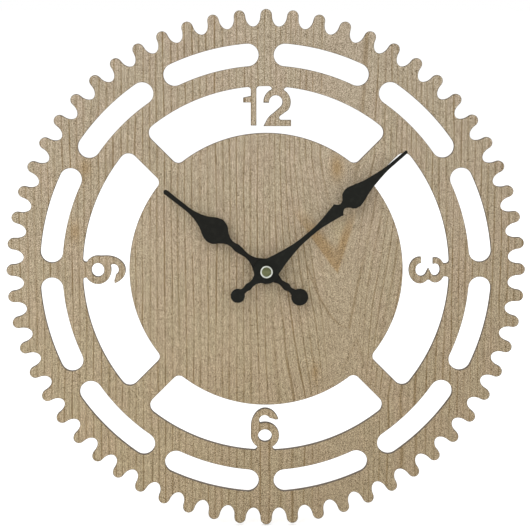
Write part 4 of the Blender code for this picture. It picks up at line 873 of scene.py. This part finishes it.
def numeral_one():
    """An upright bar with a short flag at its left."""
    flag = [(-10.0, 19.6), (-15.0, 18.5), (-15.0, 15.4), (-10.0, 15.4), (-9.0, 15.4),
            (-9.0, 19.6)]
    return [neck(-10.0, -6.35, 0.4), drawn(flag)]


def numeral_two():
    """A bowl that runs down in a slant to a straight foot."""
    points = arc((7.1, 15.7), 8.9, 183, -36, 40)
    points += arc((10.0, 5.5), 1.5, 130, 270, 10)
    points += [(16.2, 4.0), (16.2, 0.0), (-1.7, 0.0)]
    points += arc((10.3, -3.4), (11.9, 13.4), 150, 119, 8)[1:]
    points += arc((6.2, 15.7), 4.35, -44, 187, 36)
    return [drawn(points), neck(3.6, 11.5)]


def numeral_three():
    """Two bowls one above the other, open to the left, with a short bar between them."""
    points = arc((0.5, 6.7), (8.8, 7.2), 173, 403, 42)
    points += arc((0.4, 16.9), (8.3, 6.3), -40, 195, 42)
    points += arc((0.1, 16.7), (4.0, 3.2), 206, -72, 36)
    points += [(-1.0, 12.4)]
    points += arc((0.1, 7.6), (4.3, 3.65), 70, -180, 34)
    return [drawn(points), neck(-4.0, 4.7)]


def numeral_six(aside):
    """A hook and a closed bowl; the same shape, turned half about, stands for the 9."""
    hook = [(5.3, 16.1), (9.3, 17.1)] + arc((-0.1, 10.4), (9.5, 12.5), 0, -155, 44)
    hook += [(-6.9, 5.5), (-4.6, 4.7)] + arc((0.3, 5.8), (3.6, 3.3), 205, 400, 32)
    bowl = [drawn(circle(radii, 84, (0.1, 16.1)), aside) for radii in ((9.35, 8.8), (4.5, 4.1))]
    return [drawn(hook, aside), bowl, neck(aside - 4.9, aside + 5.3)]


panel_low, panel_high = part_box("face_panel")
panel_middle = (panel_low[1] + panel_high[1]) / 2
numerals = (numeral_one() + numeral_two(), numeral_three(), numeral_six(0.7), numeral_six(0.0))
outlines = [toothed_outline(), circle(BUSHING_HOLE, 48)]
outlines += [turned_about(slot_outline(), (2 * number + 1) * 180 / SLOT_COUNT)
             for number in range(SLOT_COUNT)]
for quarter, strokes in enumerate(numerals):
    window = upright_sheet("window", [turned_about(window_outline(), 90 * quarter)], *WINDOW_TOOL)
    for stroke in strokes:
        parts = stroke if isinstance(stroke[0], list) else [stroke]
        cut(window, [turned_about(part, 90 * quarter) for part in parts], *NUMERAL_TOOL)
    outlines += front_loops(window)
    bpy.data.objects.remove(window, do_unlink=True)
board = upright_sheet("clock_board", outlines, -panel_high[1], -panel_low[1], EDGE_ROUNDING)


def swell(value, middle, width):
    """One where the value is at the middle, falling away to nought on both sides."""
    off = (value - middle) / width
    return calc("EXPONENT", off * off * -1.0)


def stain(across, up, middle, size):
    """A soft patch in the wood."""
    return swell(across, middle[0], size[0]) * swell(up, middle[1], size[1])


def grain_tip(across, up, tip, slopes, reach, width, fill=0.0, bow=1.0):
    """A growth ring that comes to a point: two arms that open upwards, filled for a way inside."""
    rise, aside = up - tip[1], across - tip[0]
    bowed = calc("POWER", greater(rise, 0.0), bow)
    left = calc("MINIMUM", rise, 0.0) + bowed * slopes[0] + aside
    right = rise * slopes[1] - aside
    outer = limits(calc("MINIMUM", left, right), -width, -0.1 * width)
    inner = greater(*[limits(arm, 0.1 * width + 0.8 * fill * lean,
                             width + 2.0 * fill * lean, 1.0, 0.0)
                      for arm, lean in zip((left, right), slopes)])
    return outer * inner * limits(rise, 0.4 * reach, reach, 1.0, 0.0)


RING_PITCH = 0.0047
FINE_RINGS = 2.7  # faint lines to each ring
BACK_SHIFT = 0.0390  # how far the rings of the back lie from those of the front
PORE_BROWN, PALE_WOOD = (0.098, 0.06, 0.016), (0.794, 0.652, 0.446)
LATE_WOOD = (0.47, 0.385, 0.24)
STAIN_BROWN, TIP_BROWN = (0.81, 0.67, 0.48), (0.72, 0.635, 0.53)
SMALL_STAINS = (((0.0320, -0.0680), (0.0026, 0.0065)), ((-0.1180, 0.0670), (0.0040, 0.0070)),
                ((-0.1250, 0.0250), (0.0035, 0.0065)))


def veneer_finish(name):
    """Open-pored wood: growth rings stand upright, and right of the shaft some come to a point."""
    made, tree = fresh_material(name)
    place, depth, up = piece_axes(tree)
    front = limits(depth, panel_middle - 0.0001, panel_middle + 0.0001, 1.0, 0.0)
    across = place - (1.0 - front) * BACK_SHIFT

    # The growth rings: straight lines that wander a little and lean away from the pointed ones.
    sway = (cloudy(tree, 0.04, (0.6, 1, 3.6)) - 0.5) * 0.0070
    shake = (cloudy(tree, 0.0060, (1, 1, 4.0)) - 0.5) * 0.0007
    slope = swell(across, 0.03, 0.02) * 0.15 - swell(across, 0.076, 0.02) * 0.17
    near_shaft = greater(calc("MINIMUM", up, 0.075), -0.085)
    bent = across + slope * near_shaft + (sway + shake)
    ring = calc("FRACT", bent / RING_PITCH)
    late = limits(ring, 0.64, 0.84) * limits(ring, 0.88, 0.98, 1.0, 0.0)
    fine = calc("FRACT", bent / (RING_PITCH / FINE_RINGS))
    thin = limits(fine, 0.3, 0.75) * limits(fine, 0.8, 1.0, 1.0, 0.0)
    broken = limits(cloudy(tree, 0.0014, (0.6, 1, 6.0), shift=5.0), 0.22, 0.50, 0.45, 1.0)
    patchy = limits(cloudy(tree, 0.024, (0.6, 1, 1.8), shift=9.0), 0.36, 0.60, 0.55, 1.0)
    quiet = 1.0 - swell(across, 0.049, 0.013) * 0.85
    dark = late * broken * patchy * quiet
    faint = thin * broken * 0.34 * quiet

    # The pointed rings, which are on the front only.
    moved = across + shake * 1.2
    upper = grain_tip(moved, up, (0.0462, 0.0000), (0.72, 0.31), 0.046, 0.0026, 0.0062)
    lower = grain_tip(moved, up, (0.0545, -0.0385), (0.1357, 0.20), 0.07, 0.0015, bow=0.5)
    lowest = grain_tip(moved, up * -1.0, (0.0596, 0.0460), (0.45, 0.30), 0.03, 0.0016)
    tips = greater(lower * 0.80, lowest * 0.50)
    lines = greater(dark + faint, tips * front)

    # The pores and fibres between the rings.
    flecks = limits(cloudy(tree, 0.00033, (0.84, 1, 1.15), 1.0), 0.39, 0.61)
    pores = flecks + (cloudy(tree, 0.00045, (1.0, 1, 10.0), 1.0, 3.0) - 0.5) * 0.45
    fibres = cloudy(tree, 0.0009, (0.6, 1, 7.0), 2.0, 7.0)
    grain = mixed(pores, PORE_BROWN, PALE_WOOD)

    # The tint: browner in the stains and lines, with painted light and shade: painted shade darkens
    # it towards the lower right, and painted light makes it paler and cooler towards the top and
    # paler inside the upper pointed ring.
    warm = limits(cloudy(tree, 0.012, (0.8, 1, 2.4), 3.0, 11.0), 0.35, 0.68)
    tint = mixed(warm, (0.985, 1.0, 0.985), (1.010, 0.99, 1.0))
    tint = mixed(1.0 - quiet, tint, (0.945, 0.94, 0.93))
    # Painted shade: the board's colour darkens towards the lower right, away from the key lamp.
    painted_shade_tint = mixed(1.0, tint, (0.86, 0.85, 0.85), "MULTIPLY")
    tint = mixed(limits(across - up, 0.00, 0.28), tint, painted_shade_tint)
    # Painted light: the colour turns paler and cooler towards the top and warmer towards the
    # bottom, as if lit from above.
    painted_top_light = mixed(limits(up, -0.15, 0.17), (1.000, 0.985, 0.955), (0.985, 1.010, 1.130))
    tint = mixed(1.0, tint, painted_top_light, "MULTIPLY")
    # Painted light: a paler patch inside the upper pointed ring lightens the board where the minute
    # hand's shadow falls.
    painted_light_patch = stain(moved, up, (0.0470, 0.0270), (0.0056, 0.0105))
    tint = mixed(painted_light_patch * front, tint, (1.100, 1.120, 1.100))
    stains = greater(upper, stain(moved, up, (0.0460, 0.0670), (0.0042, 0.0080)))
    for middle, size in SMALL_STAINS:
        stains = greater(stains, stain(moved, up, middle, size) * 0.75)
    tint = mixed(stains * front * 0.90, tint, STAIN_BROWN)
    browned_tip = stain(moved, up, (0.0463, 0.0100), (0.0046, 0.0052))
    tint = mixed(browned_tip * front * 0.85, tint, TIP_BROWN)
    tint = mixed(lines * 0.72, tint, LATE_WOOD)
    colour = put_node(tree, "VectorMath", operation="SCALE")
    feed(colour.inputs[0], mixed(1.0, grain, tint, "MULTIPLY"))
    feed(colour.inputs["Scale"], fibres * 0.14 + 0.93)
    return finished(made, colour.outputs[0], 0.66 - pores * 0.10, pores - lines * 0.5,
                    0.2, 0.00006, Specular_IOR_Level=0.25)


def cut_edge_finish(name):
    """The browned edge of the fibreboard, with the paler line of the veneer at each face."""
    made, tree = fresh_material(name)
    off_middle = calc("ABSOLUTE", piece_axes(tree)[1] - panel_middle)
    wavy = (cloudy(tree, 0.004) - 0.5) * 0.0002
    skin = limits(off_middle + wavy, 0.00185, 0.00200)
    flecks = limits(cloudy(tree, 0.00045, (1, 0.5, 1), 3.0), 0.3, 0.7)
    core_tone = mixed(flecks, (0.088, 0.062, 0.041), (0.15, 0.11, 0.074))
    skin_tone = mixed(flecks, (0.105, 0.082, 0.058), (0.17, 0.136, 0.098))
    return finished(made, mixed(skin, core_tone, skin_tone), 0.72, flecks,
                    0.3, 0.0001, Specular_IOR_Level=0.2)


def round_only_edges(piece):
    """Shades the rounded edges smoothly and leaves the flat faces flat."""
    for face in piece.data.polygons:
        face.use_smooth = abs(face.normal.y) < 0.999


board.data.materials.append(veneer_finish("oak_veneer_face"))
finish_faces(board, cut_edge_finish("oak_veneer_cut_edge"),
             lambda face: abs(face.normal.y) < 0.85)
round_only_edges(board)
board.data.set_sharp_from_angle(angle=radians(50))
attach(board, "clock")
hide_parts("face_panel")


# Washer and nut: pressed and turned from bright steel. The nut is run down the bushing's thread,
# and clamps the board between the washer and the rubber.
NUT_FLAT, NUT_CORNER = 0.0061, 0.0072  # radii between which its corners are chamfered
ring_like("steel_washer", "fixing_washer", BUSHING_HOLE, 0.0070, 0.00012,
          metal_finish("nut_steel_washer", (0.62, 0.62, 0.61), 0.28, turning=RING_STEP),
          "clock")

nut_low, nut_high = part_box("fixing_nut")
rear, front = -nut_high[1], -nut_low[1]
nut = upright_sheet("steel_nut", [circle(nut_high[0], 6), circle(BUSHING_HOLE, 48)], rear, front)
chamfer = turned_piece("chamfer_tool", [
    (0.0, rear - 0.0001), (NUT_FLAT, rear - 0.0001), (NUT_CORNER, rear + 0.0005),
    (NUT_CORNER, front - 0.0005), (NUT_FLAT, front + 0.0001), (0.0, front + 0.0001)], steps=96)
carve(nut, chamfer, "INTERSECT")
soften(nut, 0.00006, 25.0)
shade(nut, 25.0)
nut.data.materials.append(metal_finish("nut_steel_hexagon", (0.60, 0.60, 0.59), 0.26))
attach(nut, "clock")
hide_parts("fixing_nut")


# Collet: a short tube turned from brass and riveted in the hour hand.
# It is pushed on the hour wheel's tube, and grips it by friction.
COLLET_BORE, COLLET_WAIST, COLLET_RADIUS = 0.0028, 0.0036, 0.0040
collet_low, collet_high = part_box("hour_hand_collet")
rear, front = -collet_high[1], -collet_low[1]
collet = turned_piece("brass_collet", [
    (COLLET_BORE, rear + 0.0002), (0.0030, rear), (COLLET_WAIST, rear),
    (COLLET_RADIUS, rear + 0.0003), (COLLET_RADIUS, rear + 0.0007),
    (COLLET_WAIST, rear + 0.0008), (COLLET_WAIST, front - 0.0004),
    (COLLET_RADIUS, front - 0.0003), (COLLET_RADIUS, front), (COLLET_BORE, front)], steps=56)
shade(collet, 30.0)
collet.data.materials.append(
    metal_finish("shaft_brass_collet", (0.72, 0.52, 0.22), 0.26, turning=RING_STEP))
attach(collet, "hour_arm")
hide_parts("hour_hand_collet")


# Hands: stamped from 0.5 mm steel sheet and sprayed matt black, each in one piece with its ball,
# hub and spade. The hour hand is pressed on its tube and the minute hand fits two flats.
HAND_HUB_RADIUS = 0.0083
HAND_ROUNDING = 0.00018
HOUR_ANGLE, MINUTE_ANGLE = 308.3, 49.4  # clockwise from twelve o'clock
HOUR_LENGTH, HOUR_TIP = 0.0850, 0.0016
HOUR_BALL = (0.0278, 0.0056)  # how far from the shaft, and its radius
MINUTE_LENGTH, MINUTE_TIP = 0.1203, 0.0011
MINUTE_BALL = (0.0246, 0.0047)

# Stations behind the hub and ahead of it, in millimetres: how far along, and the half width.
HOUR_BEHIND = [(-22.1, 2.2), (-19.5, 1.6), (-16.9, 2.6), (-14.3, 2.0), (-11.7, 1.7)]
HOUR_AHEAD = [
    (6.2, 5.6), (9.1, 3.7), (11.7, 2.5), (14.3, 1.8), (16.9, 1.6), (20.8, 2.1), (24.7, 2.5),
    (27.3, 1.9), (29.9, 2.0), (32.5, 2.9), (35.1, 4.6), (37.7, 7.2), (40.3, 8.4), (42.9, 8.8),
    (45.5, 8.2), (48.1, 7.0), (50.7, 5.3), (53.3, 4.0), (58.5, 2.4), (63.7, 1.6), (70.0, 1.5)]
MINUTE_BEHIND = [(-21.0, 2.1), (-18.2, 1.8), (-15.6, 2.4), (-13.0, 1.9), (-10.4, 2.1)]
MINUTE_AHEAD = [
    (5.2, 6.5), (10.4, 5.1), (15.6, 3.9), (20.8, 2.9), (26.0, 2.1), (32.5, 1.7), (41.6, 1.7),
    (46.8, 2.1), (52.0, 2.9), (57.2, 3.8), (60.0, 4.3), (61.8, 4.7), (63.1, 3.3), (65.2, 2.1),
    (67.6, 3.2), (70.0, 6.0), (72.8, 7.2), (75.4, 7.3), (78.0, 6.6), (83.2, 4.9), (88.4, 3.5),
    (93.6, 2.6), (98.8, 1.8), (104.0, 1.3), (111.0, 1.2)]


def smooth_run(points, between):
    """A smooth curve through the points, with some more points between each two."""
    padded = [points[0]] + points + [points[-1]]
    run = []
    for a, b, c, d in zip(padded, padded[1:], padded[2:], padded[3:]):
        for step in range(between + 1):
            t = step / (between + 1)
            run.append(tuple(
                0.5 * (2 * b[k] + (c[k] - a[k]) * t
                       + (2 * a[k] - 5 * b[k] + 4 * c[k] - d[k]) * t * t
                       + (3 * b[k] - a[k] - 3 * c[k] + d[k]) * t ** 3) for k in range(2)))
    return run + [points[-1]]


def hand_outline(behind, ahead, ball, length, tip):
    """A hand that points up: ball, arm, hub, blade and tip, through its stations."""
    behind, ahead = ([(0.001 * half, 0.001 * along) for along, half in stations]
                     for stations in (behind, ahead))
    ball_reach, ball_radius = ball
    ball_side = degrees(asin(behind[0][0] / ball_radius))
    side = [(y, x) for x, y in arc((-ball_reach, 0), ball_radius, 180, ball_side, 24)]
    side += smooth_run(behind, 3)
    first = degrees(atan2(*behind[-1])) - 14
    last = degrees(atan2(*ahead[0]))
    side += [(y, x) for x, y in arc((0, 0), HAND_HUB_RADIUS, first, last, 22)][:-1]
    side += smooth_run(ahead + [(tip, length - tip)], 3)
    side += [(y, x) for x, y in arc((length - tip, 0), tip, 90, 0, 6)][1:]
    return side + [(-x, y) for x, y in reversed(side[1:-1])]


def flat_sided(radius, flat):
    """A round hole with two flats, so that the hand turns with its shaft."""
    side = degrees(asin(flat / radius))
    return arc((0, 0), radius, -side, side, 12) + arc((0, 0), radius, 180 - side, 180 + side, 12)


def spray_finish(name, colour):
    """Sprayed paint: nearly even, with a faint orange-peel surface and a trace of dust."""
    made, tree = fresh_material(name)
    dust = limits(cloudy(tree, 0.0030, detail=4.0, shift=4.0), 0.45, 0.75)
    tone = mixed(dust, colour, scaled(colour, 1.6, 0.002))
    return finished(made, tone, dust * 0.10 + 0.48, cloudy(tree, 0.0007),
                    0.15, 0.00005, Specular_IOR_Level=0.13)


def make_hand(name, node, outline, hole, colour, body):
    low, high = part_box(node)
    hand = upright_sheet(name, [outline, hole], -high[1], -low[1], HAND_ROUNDING)
    hand.data.materials.append(spray_finish(name + "_paint", colour))
    round_only_edges(hand)
    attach(hand, body)
    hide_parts(node)


hour_outline = hand_outline(HOUR_BEHIND, HOUR_AHEAD, HOUR_BALL, HOUR_LENGTH, HOUR_TIP)
make_hand("hour_spade", "hour_hand", turned_about(hour_outline, HOUR_ANGLE),
          circle(COLLET_BORE, 36), (0.0052, 0.0050, 0.0032), "hour_arm")
minute_outline = hand_outline(MINUTE_BEHIND, MINUTE_AHEAD, MINUTE_BALL, MINUTE_LENGTH, MINUTE_TIP)
make_hand("minute_spade", "minute_hand", turned_about(minute_outline, MINUTE_ANGLE),
          flat_sided(0.0019, 0.0015), (0.0056, 0.0060, 0.0040), "minute_arm")


# Cap nut: turned from brass and plated, with a bright rolled rim and a dish whose dull olive tone
# is a painted reflection.
# It screws on the end of the minute shaft and holds the minute hand.
CAP_RADIUS, CAP_BORE, DISH_RADIUS = 0.00415, 0.0019, 0.0030
cap_low, cap_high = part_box("cap_nut")
rear, front = -cap_high[1], -cap_low[1]
cap_profile = [(0.0, front - 0.0004), (0.0026, front - 0.0004), (DISH_RADIUS, front - 0.00035)]
cap_profile += arc((0.00355, front - 0.00055), (0.00060, 0.00055), 158, 0, 12)
cap_profile += [(CAP_RADIUS, rear + 0.0004), (0.00405, rear + 0.0001), (0.00390, rear)]
cap_profile += [(CAP_BORE, rear), (CAP_BORE, front - 0.0020), (0.0, front - 0.0020)]
cap = turned_piece("cap_nut_turned", cap_profile)
cap.data.materials.append(metal_finish("cap_chrome_rim", (0.50, 0.52, 0.47), 0.20))
# Painted reflection: the dish's dark olive colour stands in for the surroundings that the plated
# dish mirrors.
olive_reflection_finish = metal_finish("cap_chrome_dish_painted_reflection", (0.115, 0.122, 0.06), 0.38, 0.22, turning=0.00002)
finish_faces(cap, olive_reflection_finish, lambda face: face.normal.y < -0.9
             and face.center.xz.length < DISH_RADIUS and face.center.y < -front + 0.0006)
cap.data.shade_smooth()
cap.data.set_sharp_from_angle(angle=radians(40))
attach(cap, "minute_arm")
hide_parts("cap_nut")


low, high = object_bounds()
